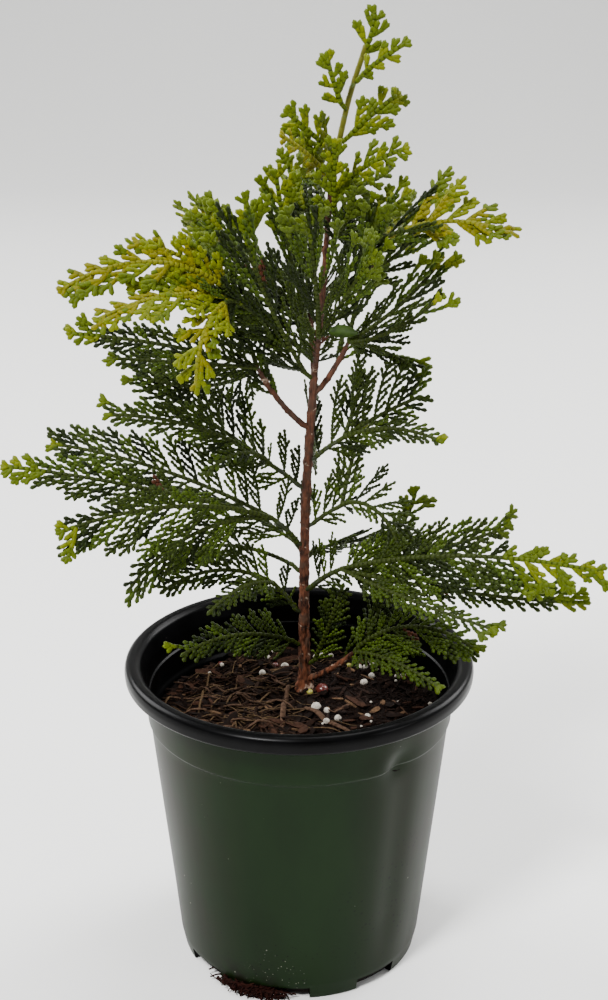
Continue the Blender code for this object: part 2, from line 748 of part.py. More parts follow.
def foliage(solids, tips):
    """Every mass: all midribs first, then the side sprays between them."""
    twigs = {}
    for name in MASSES:
        others = list(solids)
        for stem, collection, _ in twigs.values():
            others += [tree_of(piece) for piece in [stem, *collection.objects]]
        twigs[name] = midribs(name, tips, others)
    blades = {}
    for name, (stem, collection, paths) in twigs.items():
        others = list(solids)
        for other, (other_stem, other_twigs, _) in twigs.items():
            if other != name:
                others += [tree_of(piece) for piece in [other_stem, *other_twigs.objects]]
        side_blades(name, collection, paths, others)
        blades[name] = (stem, collection)
    for stem, collection in blades.values():
        fuse(stem, collection)


def build():
    clear_scene()
    limbs = [pot(), soil(), trunk()]
    tips = {}
    for name in BOUGHS:
        made, tip, direction = bough(name)
        limbs.append(made)
        tips[name] = (tip, direction)
    top = trunk_point(1.0)
    tips["leader"] = (top, (top - trunk_point(0.97)).normalized())
    foliage([tree_of(made) for made in limbs], tips)


build()
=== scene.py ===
import json
import math
import random
from collections import defaultdict, namedtuple

import bmesh
import bpy
from mathutils import Matrix, Vector, noise

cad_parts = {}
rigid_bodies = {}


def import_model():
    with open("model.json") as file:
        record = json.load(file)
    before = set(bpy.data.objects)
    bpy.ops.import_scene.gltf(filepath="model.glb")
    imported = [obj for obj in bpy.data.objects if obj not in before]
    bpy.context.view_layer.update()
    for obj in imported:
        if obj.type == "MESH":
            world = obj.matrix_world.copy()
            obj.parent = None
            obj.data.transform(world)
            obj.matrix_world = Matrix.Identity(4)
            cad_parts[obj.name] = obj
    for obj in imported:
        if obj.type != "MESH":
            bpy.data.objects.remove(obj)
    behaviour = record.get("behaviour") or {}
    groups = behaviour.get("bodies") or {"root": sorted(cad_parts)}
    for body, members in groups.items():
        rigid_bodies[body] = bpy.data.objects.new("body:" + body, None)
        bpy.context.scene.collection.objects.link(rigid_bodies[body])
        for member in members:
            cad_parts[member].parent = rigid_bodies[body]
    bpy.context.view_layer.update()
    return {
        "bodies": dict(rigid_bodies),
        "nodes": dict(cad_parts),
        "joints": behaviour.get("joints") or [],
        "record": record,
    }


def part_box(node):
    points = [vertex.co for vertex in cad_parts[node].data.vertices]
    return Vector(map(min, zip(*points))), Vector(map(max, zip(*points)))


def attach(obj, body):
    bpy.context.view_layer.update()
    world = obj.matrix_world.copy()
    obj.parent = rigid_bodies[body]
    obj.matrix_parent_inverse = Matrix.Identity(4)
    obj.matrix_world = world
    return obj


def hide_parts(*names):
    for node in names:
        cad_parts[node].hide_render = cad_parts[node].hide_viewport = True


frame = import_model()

MM = 0.001

# Nursery pot
# A thin polypropylene pot, drawn from one hot sheet that is green outside and black inside:
# a hollow rolled lip, a stepped collar, a tapered wall and a foot with drain notches melted
# through it. Handling has pinched the collar at the front right and dusted the wall.

pot_low, pot_high = (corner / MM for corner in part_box("pot"))
RIM_RADIUS = (pot_high.x - pot_low.x) / 2
POT_HEIGHT = pot_high.z
LIP_FOOT = POT_HEIGHT - 8.4
COLLAR_RADIUS = RIM_RADIUS - 8.9
STEP_RADIUS = RIM_RADIUS - 11.2
STEP_HEIGHT = POT_HEIGHT - 29.4
FOOT_RADIUS = RIM_RADIUS - 24.9
CHAMFER_STEP = 1.7
CHAMFER_HEIGHT = 8.4
WALL = 1.2
FLOOR = 1.6
POT_SEGMENTS = 176
NOTCHES = 8
NOTCH_FIRST = -6.0
NOTCH_TURN = 22.0
NOTCH_HEIGHT = 6.5
NOTCH_DEPTH = 7.0
POT_SHARP = 32
PINCH_HEADING = -52.0
PINCH_HEIGHT = STEP_HEIGHT + 2.0
PINCH_DEPTH = 2.0
PINCH_SPREAD = (4.5, 5.0)
SWELL_SPREAD = (6.0, 8.0)
SWELL_HEIGHT = 0.6
SWELL_TURN = -8
FOLD_TURN = 4
FOLD_DEPTH = 1.1
FOLD_SPREAD = 7.0
WAVE_DEPTH = 0.25
CORNER_RADIUS = 0.9
SECTION_STEP = 3.2
# Marks on the outer skin, in millimetres: where the film and its painted sheen start and are full
# at the sides, and for a mark at one place its centre, its radius and the size of its patches
FILM_AND_SHEEN_REACH = (22, 62)
SOIL_STAIN = ((-26, -52, -2), 24, 7)
POT_SPECKS = (
    (9, 0.42, "#6c6d62", None),
    (13, 0.5, "#0a0a07", None),
    (3.1, 0.75, "#020202", ((52, -34, 48), 56, 14)),
    (1.7, 0.3, "#8a8a7a", ((-11, -60, 12), 17, 6)),
    (2.7, 0.5, "#020202", ((-12, -58, 20), 34, 9)),
)


def linear(hex_colour):
    """Linear RGB of an sRGB hex value."""
    values = [int(hex_colour[place:place + 2], 16) / 255 for place in (1, 3, 5)]
    return tuple(v / 12.92 if v <= 0.04045 else ((v + 0.055) / 1.055) ** 2.4 for v in values)


def add_node(tree, kind, settings=None, links=None):
    """Adds one node; settings are attributes or inputs, links are (input, output socket)."""
    made = tree.nodes.new(kind)
    for key, value in (settings or {}).items():
        if isinstance(key, str) and hasattr(made, key):
            setattr(made, key, value)
        else:
            made.inputs[key].default_value = value
    for key, source in (links or {}).items():
        tree.links.new(source, made.inputs[key])
    return made


def start_material(name, roughness, ior=1.5, shine=0.5):
    """A Principled material with its constants set on the shader's own sockets."""
    made = bpy.data.materials.new(name)
    made.use_nodes = True
    shader = made.node_tree.nodes["Principled BSDF"]
    shader.inputs["Roughness"].default_value = roughness
    shader.inputs["IOR"].default_value = ior
    shader.inputs["Specular IOR Level"].default_value = shine
    return made, made.node_tree, shader


def noise_grain(tree, size, detail, stretch=(1, 1, 1)):
    """Noise over the piece in patches of a size in millimetres."""
    place = add_node(tree, "ShaderNodeTexCoord")
    spread = add_node(tree, "ShaderNodeMapping", {"Scale": stretch},
                      {"Vector": place.outputs["Object"]})
    grain = add_node(tree, "ShaderNodeTexNoise", {"Scale": 1 / (size * MM), "Detail": detail},
                     {"Vector": spread.outputs[0]})
    return grain.outputs["Fac"]


def noise_mix(tree, size, low, high, colours, stretch=(1, 1, 1), detail=4.0):
    """A colour that drifts between two hex colours in patches, and its noise."""
    grain = noise_grain(tree, size, detail, stretch)
    ramp = add_node(tree, "ShaderNodeValToRGB", links={"Fac": grain})
    for element, edge, value in zip(ramp.color_ramp.elements, (low, high), colours):
        element.position, element.color = edge, (*linear(value), 1)
    return ramp.outputs["Color"], grain


def layered(tree, base, *layers):
    """A base colour with hex colours laid over it in turn, each by its own share."""
    for value, share in layers:
        mix = add_node(tree, "ShaderNodeMix", {"data_type": "RGBA", 7: (*linear(value), 1)},
                       {0: share, 6: base})
        base = mix.outputs[2]
    return base


def speck_mix(tree, base, spacing, size, value, mask=None):
    """Scattered specks of one hex colour over a base colour, everywhere or inside a mask;
    spacing and size in millimetres."""
    place = add_node(tree, "ShaderNodeTexCoord")
    cells = add_node(tree, "ShaderNodeTexVoronoi", {"Scale": 1 / (spacing * MM)},
                     {"Vector": place.outputs["Object"]})
    ramp = add_node(tree, "ShaderNodeValToRGB", links={"Fac": cells.outputs["Distance"]})
    for element, edge, level in zip(ramp.color_ramp.elements, (0.7, 1.0), (1, 0)):
        element.position, element.color = edge * size / spacing, (level, level, level, 1)
    share = ramp.outputs["Color"]
    if mask:
        inside = add_node(tree, "ShaderNodeMath", {"operation": "MULTIPLY"}, {0: share, 1: mask})
        share = inside.outputs[0]
    return layered(tree, base, (value, share))


def patches(tree, size, low, high, detail, least=0.0, most=1.0):
    """A mask of soft patches of a size in millimetres."""
    mask = add_node(tree, "ShaderNodeMapRange",
                    {"From Min": low, "From Max": high, "To Min": least, "To Max": most},
                    {"Value": noise_grain(tree, size, detail)})
    return mask.outputs[0]


def near_mask(tree, centre, radius, size):
    """Patchy mask of one place on the piece, fading out at a radius; all in millimetres."""
    place = add_node(tree, "ShaderNodeTexCoord")
    apart = add_node(tree, "ShaderNodeVectorMath",
                     {"operation": "DISTANCE", 1: tuple(value * MM for value in centre)},
                     {0: place.outputs["Object"]})
    fade = add_node(tree, "ShaderNodeMapRange",
                    {"From Min": 0.35 * radius * MM, "From Max": radius * MM,
                     "To Min": 1.0, "To Max": 0.0}, {"Value": apart.outputs["Value"]})
    mask = add_node(tree, "ShaderNodeMath", {"operation": "MULTIPLY"},
                    {0: fade.outputs[0], 1: patches(tree, size, 0.4, 0.6, 5.0)})
    return mask.outputs[0]


def cover(tree, shader, colour, grain, strength, distance):
    """Gives the shader its colour, and the grain as relief of a distance in millimetres."""
    relief = add_node(tree, "ShaderNodeBump", {"Strength": strength, "Distance": distance * MM},
                      {"Height": grain})
    tree.links.new(colour, shader.inputs["Base Color"])
    tree.links.new(relief.outputs["Normal"], shader.inputs["Normal"])


def mottled_material(name, look, size, edges, colours, relief, stretch=(1, 1, 1)):
    """A material of one drifting colour with the same grain as relief; look is its
    roughness, index of refraction and shine."""
    made, tree, shader = start_material(name, *look)
    tone, grain = noise_mix(tree, size, *edges, colours, stretch)
    cover(tree, shader, tone, grain, *relief)
    return made


def outer_plastic():
    # Green-pigmented polypropylene skin: a waxy satin gloss with faint draw marks, a brown
    # film at both sides that is partly a painted reflection of the lamps, a soil stain at the front
    # left notch, dust specks and dark flecks
    made, tree, shader = start_material("thermoformed_green_polypropylene", 0.4, 1.49, 0.085)
    tone, grain = noise_mix(tree, 26, 0.3, 0.75, ("#0a1905", "#0e2108"), (1, 1, 0.3))
    place = add_node(tree, "ShaderNodeTexCoord")
    parts = add_node(tree, "ShaderNodeSeparateXYZ", links={"Vector": place.outputs["Object"]})
    sideways = add_node(tree, "ShaderNodeMath", {"operation": "ABSOLUTE"}, {0: parts.outputs["X"]})
    # Painted sheen: the brown film grows towards both sides of the pot as seen from the front,
    # where the lamps' reflections fall
    film_and_sheen_start, film_and_sheen_full = FILM_AND_SHEEN_REACH
    spread = add_node(tree, "ShaderNodeMapRange",
                      {"From Min": film_and_sheen_start * MM, "From Max": film_and_sheen_full * MM, "To Max": 0.8},
                      {"Value": sideways.outputs[0]})
    film_and_painted_sheen = add_node(tree, "ShaderNodeMath", {"operation": "MULTIPLY"},
                      {0: spread.outputs[0], 1: patches(tree, 22, 0.35, 0.6, 3.0, least=0.45)})
    dusted = layered(tree, tone, ("#17120a", film_and_painted_sheen.outputs[0]),
                     ("#0c0503", near_mask(tree, *SOIL_STAIN)))
    for spacing, size, value, near in POT_SPECKS:
        mask = near_mask(tree, *near) if near else None
        dusted = speck_mix(tree, dusted, spacing, size, value, mask)
    cover(tree, shader, dusted, grain, 0.25, 0.25)
    return made


def inner_plastic():
    # Black polypropylene of the sheet's other face: smoother, and dulled by a little dust
    made, tree, shader = start_material("thermoformed_black_polypropylene", 0.3, 1.49, 0.07)
    tone, grain = noise_mix(tree, 14, 0.35, 0.7, ("#020202", "#060607"))
    cover(tree, shader, speck_mix(tree, tone, 11, 0.35, "#45433f"), grain, 0.2, 0.15)
    return made


def softened(outline, radius, cuts=4):
    """An outline whose corners are rounded by short curves of about a radius."""
    outline = [Vector(point) for point in outline]
    points = [outline[0]]
    for before, corner, after in zip(outline, outline[1:], outline[2:]):
        reach = min(radius, (before - corner).length * 0.45, (after - corner).length * 0.45)
        enter = corner + (before - corner).normalized() * reach
        leave = corner + (after - corner).normalized() * reach
        for cut in range(cuts + 1):
            share = cut / cuts
            points.append(enter.lerp(corner, share).lerp(corner.lerp(leave, share), share))
    return [*points, outline[-1]]


def divided(points, step):
    """The same line with its long spans cut into steps."""
    out = [points[0]]
    for start, end in zip(points, points[1:]):
        count = max(1, math.ceil((end - start).length / step))
        out += [start.lerp(end, cut / count) for cut in range(1, count + 1)]
    return out


def pot_outline():
    """Section of the pot from the underside's centre outwards, over the lip and back inside."""
    outside = [
        (FOOT_RADIUS, 0),
        (FOOT_RADIUS + CHAMFER_STEP, CHAMFER_HEIGHT),
        (STEP_RADIUS, STEP_HEIGHT),
        (STEP_RADIUS + 1.0, STEP_HEIGHT + 0.9),
        (COLLAR_RADIUS, LIP_FOOT),
        (RIM_RADIUS - 1.4, LIP_FOOT),
        (RIM_RADIUS - 0.3, LIP_FOOT + 1.0),
        (RIM_RADIUS, LIP_FOOT + 4.4),
        (RIM_RADIUS - 0.6, POT_HEIGHT - 1.4),
        (RIM_RADIUS - 2.4, POT_HEIGHT),
        (COLLAR_RADIUS + 3.4, POT_HEIGHT - 0.1),
        (COLLAR_RADIUS + 1.2, POT_HEIGHT - 2.0),
    ]
    groove = WALL - 0.1
    inside = [
        (COLLAR_RADIUS - WALL, LIP_FOOT - 1.0),
        (COLLAR_RADIUS - WALL - 0.9, STEP_HEIGHT + 14.0),
        (COLLAR_RADIUS - groove - 2.0, STEP_HEIGHT + 13.4),
        (STEP_RADIUS + 1.0 - WALL, STEP_HEIGHT + 2.0),
        (STEP_RADIUS - WALL - 0.3, STEP_HEIGHT - 0.4),
        (FOOT_RADIUS + CHAMFER_STEP - WALL, CHAMFER_HEIGHT),
        (FOOT_RADIUS - WALL + 0.4, FLOOR),
    ]
    rounded = softened([(30, 0), *outside, *inside, (30, FLOOR)], CORNER_RADIUS)
    return [Vector((0, 0)), *divided(rounded, SECTION_STEP), Vector((0, FLOOR))]


def bell(turn, rise, spread):
    """A soft bump of height one that fades with an angle and a height."""
    return math.exp(-(turn / spread[0]) ** 2 - (rise / spread[1]) ** 2)


def handled(radius, height, heading):
    """How far handling has pushed the wall in: a pinch in the collar and a long soft fold."""
    turn = (heading - PINCH_HEADING + 180) % 360 - 180
    pinch = bell(turn, height - PINCH_HEIGHT, PINCH_SPREAD) * PINCH_DEPTH
    swell = bell(turn - SWELL_TURN, height - PINCH_HEIGHT, SWELL_SPREAD) * SWELL_HEIGHT
    lift = min(1.0, max(0.0, (height - 6) / 30)) * min(1.0, max(0.0, (LIP_FOOT - height) / 16))
    fold = math.exp(-((turn - FOLD_TURN) / FOLD_SPREAD) ** 2) * FOLD_DEPTH * lift
    wave = WAVE_DEPTH * math.sin(math.radians(heading * 3 + 40)) * lift
    return radius - pinch - fold + swell * lift + wave


def polar(radius, turn):
    """The x and y of a place at a radius and a turn in radians."""
    return radius * math.cos(turn), radius * math.sin(turn)


def smooth_mesh(name, points, faces):
    """A smooth mesh from points in metres."""
    mesh = bpy.data.meshes.new(name)
    mesh.from_pydata(points, [], faces)
    mesh.shade_smooth()
    return mesh


def closed_mesh(name, points, faces):
    """A smooth closed mesh whose faces all look outward."""
    mesh = smooth_mesh(name, points, faces)
    work = bmesh.new()
    work.from_mesh(mesh)
    bmesh.ops.recalc_face_normals(work, faces=work.faces)
    work.to_mesh(mesh)
    work.free()
    return mesh


def turned_mesh(name, outline, segments, shape=None):
    """A closed mesh from a section turned about Z; both ends of the section are on the axis."""
    points = [Vector((0, 0, outline[end][1])) * MM for end in (0, -1)]
    for radius, height in outline[1:-1]:
        for segment in range(segments):
            heading = 360 * segment / segments
            reach = shape(radius, height, heading) if shape else radius
            points.append(Vector((*polar(reach, math.radians(heading)), height)) * MM)
    faces = []
    last = len(points) - segments
    for index in range(segments):
        after = (index + 1) % segments
        faces += [(0, 2 + after, 2 + index), (1, last + index, last + after)]
        faces += [(ring + index, ring + after, ring + segments + after, ring + segments + index)
                  for ring in range(2, last, segments)]
    return closed_mesh(name, points, faces)


def place_in_scene(name, data):
    """A new object of the scene, at the origin."""
    made = bpy.data.objects.new(name, data)
    bpy.context.scene.collection.objects.link(made)
    return made


def new_piece(name, mesh, *materials):
    """A scene object at the origin whose place is in its mesh."""
    made = place_in_scene(name, mesh)
    mesh.materials.clear()
    for item in materials:
        mesh.materials.append(item)
    return made


def settle(target):
    """Turns what an object's modifiers make into its plain mesh."""
    depsgraph = bpy.context.evaluated_depsgraph_get()
    mesh = bpy.data.meshes.new_from_object(target.evaluated_get(depsgraph))
    target.modifiers.clear()
    target.data = mesh
    return target


def notch_cutters():
    """Wedges that melt the drain notches through the foot."""
    cutters = bpy.data.collections.new("drain_notches")
    middle = FOOT_RADIUS + CHAMFER_STEP
    sides = [(0, 3, 2, 1), (4, 5, 6, 7), (0, 1, 5, 4), (1, 2, 6, 5), (2, 3, 7, 6), (3, 0, 4, 7)]
    for index in range(NOTCHES):
        heading = NOTCH_FIRST + index * 360 / NOTCHES
        corners = []
        for height in (-2.0, NOTCH_HEIGHT):
            for radius, edge in ((middle - NOTCH_DEPTH, -0.5), (middle + 4, -0.5),
                                 (middle + 4, 0.5), (middle - NOTCH_DEPTH, 0.5)):
                turn = math.radians(heading + edge * NOTCH_TURN)
                corners.append(Vector((*polar(radius, turn), height)) * MM)
        mesh = bpy.data.meshes.new("notch")
        mesh.from_pydata(corners, [], sides)
        cutters.objects.link(bpy.data.objects.new("notch_%d" % index, mesh))
    return cutters


def make_pot():
    """The pot with its notches, green outside up to the lip and black elsewhere."""
    mesh = turned_mesh("nursery_pot", pot_outline(), POT_SEGMENTS, handled)
    pot = new_piece("nursery_pot", mesh, outer_plastic(), inner_plastic())
    cutters = notch_cutters()
    cut = pot.modifiers.new("notches", "BOOLEAN")
    cut.operation, cut.operand_type = "DIFFERENCE", "COLLECTION"
    cut.collection, cut.solver = cutters, "EXACT"
    settle(pot)
    for cutter in list(cutters.objects):
        bpy.data.objects.remove(cutter, do_unlink=True)
    bpy.data.collections.remove(cutters)
    for face in pot.data.polygons:
        centre = face.center / MM
        outward = Vector((centre.x, centre.y, 0)).normalized().dot(face.normal)
        skin = centre.z < LIP_FOOT - 0.4 and (outward > 0.2 or face.normal.z < -0.9)
        face.material_index = 0 if skin else 1
    pot.data.shade_smooth()
    pot.data.set_sharp_from_angle(angle=math.radians(POT_SHARP))
    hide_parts("pot")
    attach(pot, "root")


make_pot()

# Potting mix
# Composted pine bark with peat, long straw-like bark fibres, beads of expanded perlite and a
# few coated fertiliser prills, heaped a little round the stem and sunk at the wall. Fine
# roots have grown out of it through one notch.

soil_low, soil_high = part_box("soil")
SOIL_TOP = soil_high.z / MM
SOIL_EDGE = SOIL_TOP - 6.4
SOIL_FLOOR = soil_low.z / MM
SOIL_RADIUS = soil_high.x / MM
MOUND_RADIUS = 20.0
MIX_SEGMENTS = 150
MIX_RINGS = 58
MIX_MIDDLE = 100.0
MOUND_CURVE = 1.3
LUMP_SIZE = 9.0
LUMP_HEIGHT = 2.2
GRIT_SIZE = 2.2
GRIT_HEIGHT = 0.5
MIX_SUNK = 0.9
CRUMBS = 6500
CHIPS = 520
FLAKES = 46
FIBRES = 170
FIBRE_REACH = 66
FIBRE_LIFT = 1.5
FIBRE_WAVE = 1.1
PERLITE_STREWN = 20
PERLITE_CRUMBS = 8
ROOT_STRANDS = 26
ROOT_FIBRES = 230
NOTCH_RADIUS = 59.0
CHIP_SHARP = 35


def ground(x, y):
    """Height of the potting mix at a place, in millimetres."""
    radius = math.hypot(x, y)
    fall = min(1.0, max(0.0, (radius - MOUND_RADIUS) / (SOIL_RADIUS - MOUND_RADIUS)))
    lumps = noise.fractal(Vector((x, y, 3.0)) / LUMP_SIZE, 1.0, 2.0, 3) * LUMP_HEIGHT
    grit = noise.noise(Vector((x, y, 8.0)) / GRIT_SIZE) * GRIT_HEIGHT
    base = SOIL_TOP - (SOIL_TOP - SOIL_EDGE) * fall ** MOUND_CURVE
    return base - MIX_SUNK + lumps + grit


def mix_material(name, low, high, size):
    # Damp organic matter: no gloss, colour broken up at the size of its fibres
    return mottled_material(name, (0.92, 1.4, 0.12), size, (0.3, 0.7), (low, high), (0.6, 0.4))


def make_mound():
    """The body of the mix, as a closed solid inside the wall."""
    rim = SOIL_RADIUS - 0.4
    foot = FOOT_RADIUS - WALL - 0.8
    outline = [(0, SOIL_FLOOR), (foot, SOIL_FLOOR), (foot + 1.4, CHAMFER_HEIGHT)]
    outline += [(rim * (1 - ring / MIX_RINGS), SOIL_EDGE) for ring in range(MIX_RINGS)]
    outline = [Vector(point) for point in (*outline, (0, SOIL_TOP))]
    mesh = turned_mesh("potting_mix", outline, MIX_SEGMENTS)
    for vertex in mesh.vertices:
        if vertex.co.z > MIX_MIDDLE * MM:
            vertex.co.z = ground(vertex.co.x / MM, vertex.co.y / MM) * MM
    finish = mix_material("composted_bark_and_peat", "#080403", "#120a06", 2.5)
    piece = new_piece("potting_mix", mesh, finish)
    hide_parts("soil")
    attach(piece, "root")


make_mound()

Spot = namedtuple("Spot", "place along face size")


def strewing_tree():
    """Geometry nodes that set one small shape at every point, turned and sized by the point."""
    tree = bpy.data.node_groups.new("shapes_on_points", "GeometryNodeTree")
    face = tree.interface
    face.new_socket("Points", in_out="INPUT", socket_type="NodeSocketGeometry")
    face.new_socket("Shape", in_out="INPUT", socket_type="NodeSocketObject")
    face.new_socket("Finish", in_out="INPUT", socket_type="NodeSocketMaterial")
    face.new_socket("Pieces", in_out="OUTPUT", socket_type="NodeSocketGeometry")
    start = tree.nodes.new("NodeGroupInput")
    shape = add_node(tree, "GeometryNodeObjectInfo", links={"Object": start.outputs["Shape"]})
    named = {}
    for field in ("along", "face", "size"):
        named[field] = add_node(tree, "GeometryNodeInputNamedAttribute",
                                {"data_type": "FLOAT_VECTOR", "Name": field}).outputs["Attribute"]
    lift = add_node(tree, "FunctionNodeAlignRotationToVector", {"axis": "Z"},
                    {"Vector": named["along"]})
    turn = add_node(tree, "FunctionNodeAlignRotationToVector", {"axis": "Y", "pivot_axis": "Z"},
                    {"Rotation": lift.outputs[0], "Vector": named["face"]})
    place = add_node(tree, "GeometryNodeInstanceOnPoints", links={
        "Points": start.outputs["Points"], "Instance": shape.outputs["Geometry"],
        "Rotation": turn.outputs[0], "Scale": named["size"]})
    real = add_node(tree, "GeometryNodeRealizeInstances", links={0: place.outputs[0]})
    finish = add_node(tree, "GeometryNodeSetMaterial", links={
        "Geometry": real.outputs[0], "Material": start.outputs["Finish"]})
    add_node(tree, "NodeGroupOutput", links={0: finish.outputs[0]})
    return tree


STREWING = strewing_tree()


def strew(name, spots, shape, finish):
    """A plain mesh of one small shape set at every spot; sizes and places in millimetres."""
    mesh = bpy.data.meshes.new(name)
    mesh.from_pydata([spot.place * MM for spot in spots], [], [])
    for field in ("along", "face", "size"):
        layer = mesh.attributes.new(field, "FLOAT_VECTOR", "POINT")
        scale = MM if field == "size" else 1.0
        values = [part * scale for spot in spots for part in getattr(spot, field)]
        layer.data.foreach_set("vector", values)
    piece = new_piece(name, mesh)
    modifier = piece.modifiers.new("shapes", "NODES")
    modifier.node_group = STREWING
    sockets = {item.name: item.identifier for item in STREWING.interface.items_tree}
    modifier[sockets["Shape"]] = shape
    modifier[sockets["Finish"]] = finish
    settle(piece)
    for layer in list(piece.data.attributes):
        if layer.name in ("along", "face", "size"):
            piece.data.attributes.remove(layer)
    return piece


def ring_faces(start, rings, sides):
    """Faces from each ring of points to the next."""
    return [(low + corner, low + (corner + 1) % sides, low + sides + (corner + 1) % sides,
             low + sides + corner)
            for low in range(start, start + (rings - 1) * sides, sides) for corner in range(sides)]


def small_shape(name, rings, sides, ends=None, twist=0.0):
    """A unit shape from rings of (height, half width, half depth), closed at both ends by
    points at two heights, or flat."""
    points = []
    for index, (height, wide, deep) in enumerate(rings):
        for side in range(sides):
            turn = 2 * math.pi * side / sides + twist * index
            points.append((wide * math.cos(turn), deep * math.sin(turn), height))
    faces = ring_faces(0, len(rings), sides)
    last = (len(rings) - 1) * sides
    if ends:
        foot = len(points)
        points += [(0, 0, height) for height in ends]
        faces += [((side + 1) % sides, side, foot) for side in range(sides)]
        faces += [(last + side, last + (side + 1) % sides, foot + 1) for side in range(sides)]
    else:
        faces += [tuple(reversed(range(sides))), tuple(range(last, last + sides))]
    return bpy.data.objects.new(name, smooth_mesh(name, points, faces))


def scattered(count, seed, sizes, lift, spread=0.62, keep=None):
    """Spots lying on the mix, each with a random width, depth and length."""
    chance = random.Random(seed)
    lengths, widths, depths = sizes
    spots = []
    while len(spots) < count:
        radius = (SOIL_RADIUS - 2.5) * math.sqrt(chance.random())
        x, y = polar(radius, chance.uniform(0, 2 * math.pi))
        if keep and chance.random() > keep(x, y):
            continue
        heading = chance.uniform(0, 2 * math.pi)
        tilt = chance.uniform(-spread, spread)
        along = Vector((*polar(math.cos(tilt), heading), math.sin(tilt)))
        face = Vector((chance.uniform(-0.5, 0.5), chance.uniform(-0.5, 0.5), 1))
        length = chance.uniform(*lengths)
        size = Vector((chance.uniform(*widths), chance.uniform(*depths), length))
        place = Vector((x, y, ground(x, y) + lift + abs(math.sin(tilt)) * length * 0.1))
        spots.append(Spot(place - along * length / 2, along, face, size))
    return spots


def make_litter():
    """Crumbs, chips and flakes of bark over the whole mix, in four tones."""
    chip = small_shape("bark_chip", [(0.0, 0.3, 0.3), (0.22, 0.5, 0.46), (0.7, 0.42, 0.5),
                                     (1.0, 0.22, 0.25)], 5, twist=0.2)
    crumb = small_shape("bark_crumb", [(0.2, 0.5, 0.5), (0.75, 0.42, 0.45)], 5, (0.0, 1.0))
    deep = mix_material("damp_pine_bark", "#080403", "#150b06", 1.5)
    brown = mix_material("pine_bark", "#100906", "#22150f", 1.5)
    russet = mix_material("inner_bark", "#1e110a", "#38241a", 1.5)
    pale = mix_material("weathered_bark", "#3a2a1e", "#5e4833", 1.5)
    crumbs = ((0.9, 2.4), (0.7, 1.6), (0.6, 1.3))
    chips = ((2.5, 8.0), (1.1, 3.0), (0.7, 1.7))
    flakes = ((8.0, 14.0), (3.2, 5.5), (0.8, 1.6))

    def left(x, y):
        return 0.9 if x < 5 else 0.35

    for name, shape, finish, *scatter in (
            ("bark_crumbs_deep", crumb, deep, CRUMBS, 11, crumbs, 0.1),
            ("bark_crumbs_brown", crumb, brown, CRUMBS // 3, 12, crumbs, 0.2),
            ("bark_chips_deep", chip, deep, CHIPS, 13, chips, 0.4),
            ("bark_chips_brown", chip, brown, CHIPS // 2, 14, chips, 0.6),
            ("bark_chips_russet", chip, russet, CHIPS // 4, 15, chips, 0.8, 0.4, left),
            ("bark_flakes", chip, deep, FLAKES, 17, flakes, 1.4, 0.3, left),
            ("bark_flakes_russet", chip, russet, FLAKES // 2 - 1, 18, flakes, 1.6, 0.35, left),
            ("bark_chips_pale", chip, pale, CHIPS // 10, 16, chips, 0.9, 0.3, left)):
        piece = strew(name, scattered(*scatter), shape, finish)
        piece.data.set_sharp_from_angle(angle=math.radians(CHIP_SHARP))
        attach(piece, "root")


make_litter()


def direction_at(path, index):
    """Direction of a line at one of its points."""
    return (path[min(index + 1, len(path) - 1)] - path[max(index - 1, 0)]).normalized()


def squared(vector, axis):
    """The unit vector at right angles to an axis that leans the way of a vector."""
    return (vector - axis * vector.dot(axis)).normalized()


def swept(points, faces, path, radii, sides, flat=1.0, guide=Vector((0.3, 0.2, 0.93))):
    """Adds a closed tapering tube along a path to lists of points and faces."""
    start = len(points)
    for index, centre in enumerate(path):
        direction = direction_at(path, index)
        up = squared(guide, direction)
        side = direction.cross(up)
        for corner in range(sides):
            turn = 2 * math.pi * corner / sides
            spoke = side * math.cos(turn) + up * math.sin(turn) * flat
            points.append(centre + spoke * radii[index])
    faces += ring_faces(start, len(path), sides)
    faces += [tuple(reversed(range(start, start + sides))),
              tuple(range(len(points) - sides, len(points)))]


def swept_piece(name, points, faces, *materials):
    """A smooth piece from points in millimetres."""
    return new_piece(name, smooth_mesh(name, [point * MM for point in points], faces), *materials)


def lying_fibre(points, faces, start, heading, length, width, bend, chance):
    """One long flat fibre that follows the ground and bends a little."""
    steps = max(4, round(length / 3))
    path = []
    place = Vector(start)
    for step in range(steps + 1):
        turn = math.radians(heading + bend * step / steps)
        wave = FIBRE_WAVE * math.sin(step * 0.9 + start[0])
        height = ground(place.x, place.y) + FIBRE_LIFT + wave
        path.append(Vector((place.x, place.y, height)))
        stride = Vector(polar(1, turn)) * length / steps
        place += stride + Vector((chance.uniform(-0.2, 0.2), chance.uniform(-0.2, 0.2)))
    path = [point for point in path if math.hypot(point.x, point.y) < SOIL_RADIUS - 1.5]
    if len(path) < 3:
        return
    radii = [width / 2 * (0.6 + 0.4 * math.sin(math.pi * (index + 1) / (len(path) + 1)))
             for index in range(len(path))]
    swept(points, faces, path, radii, 5, 0.45)


# Start, heading, length and width of each long strip of bark that can be told apart
BARK_STRIPS = (
    ((-2, -5), -51, 36, 4.6), ((-5, 9), -98, 46, 3.0), ((-69, 12), -17, 52, 2.2),
    ((-62, 28), -35, 44, 1.9), ((-66, -4), -8, 56, 2.4), ((-50, 14), -30, 50, 2.2),
    ((-58, -16), -14, 46, 2.1), ((-30, 2), -24, 34, 2.6), ((-44, -28), 4, 40, 2.4),
    ((14, -14), 38, 18, 1.8), ((-14, 24), -70, 16, 3.0), ((-24, 20), 8, 22, 1.6),
    ((30, -30), -12, 16, 2.2), ((44, 2), -60, 14, 1.2),
)


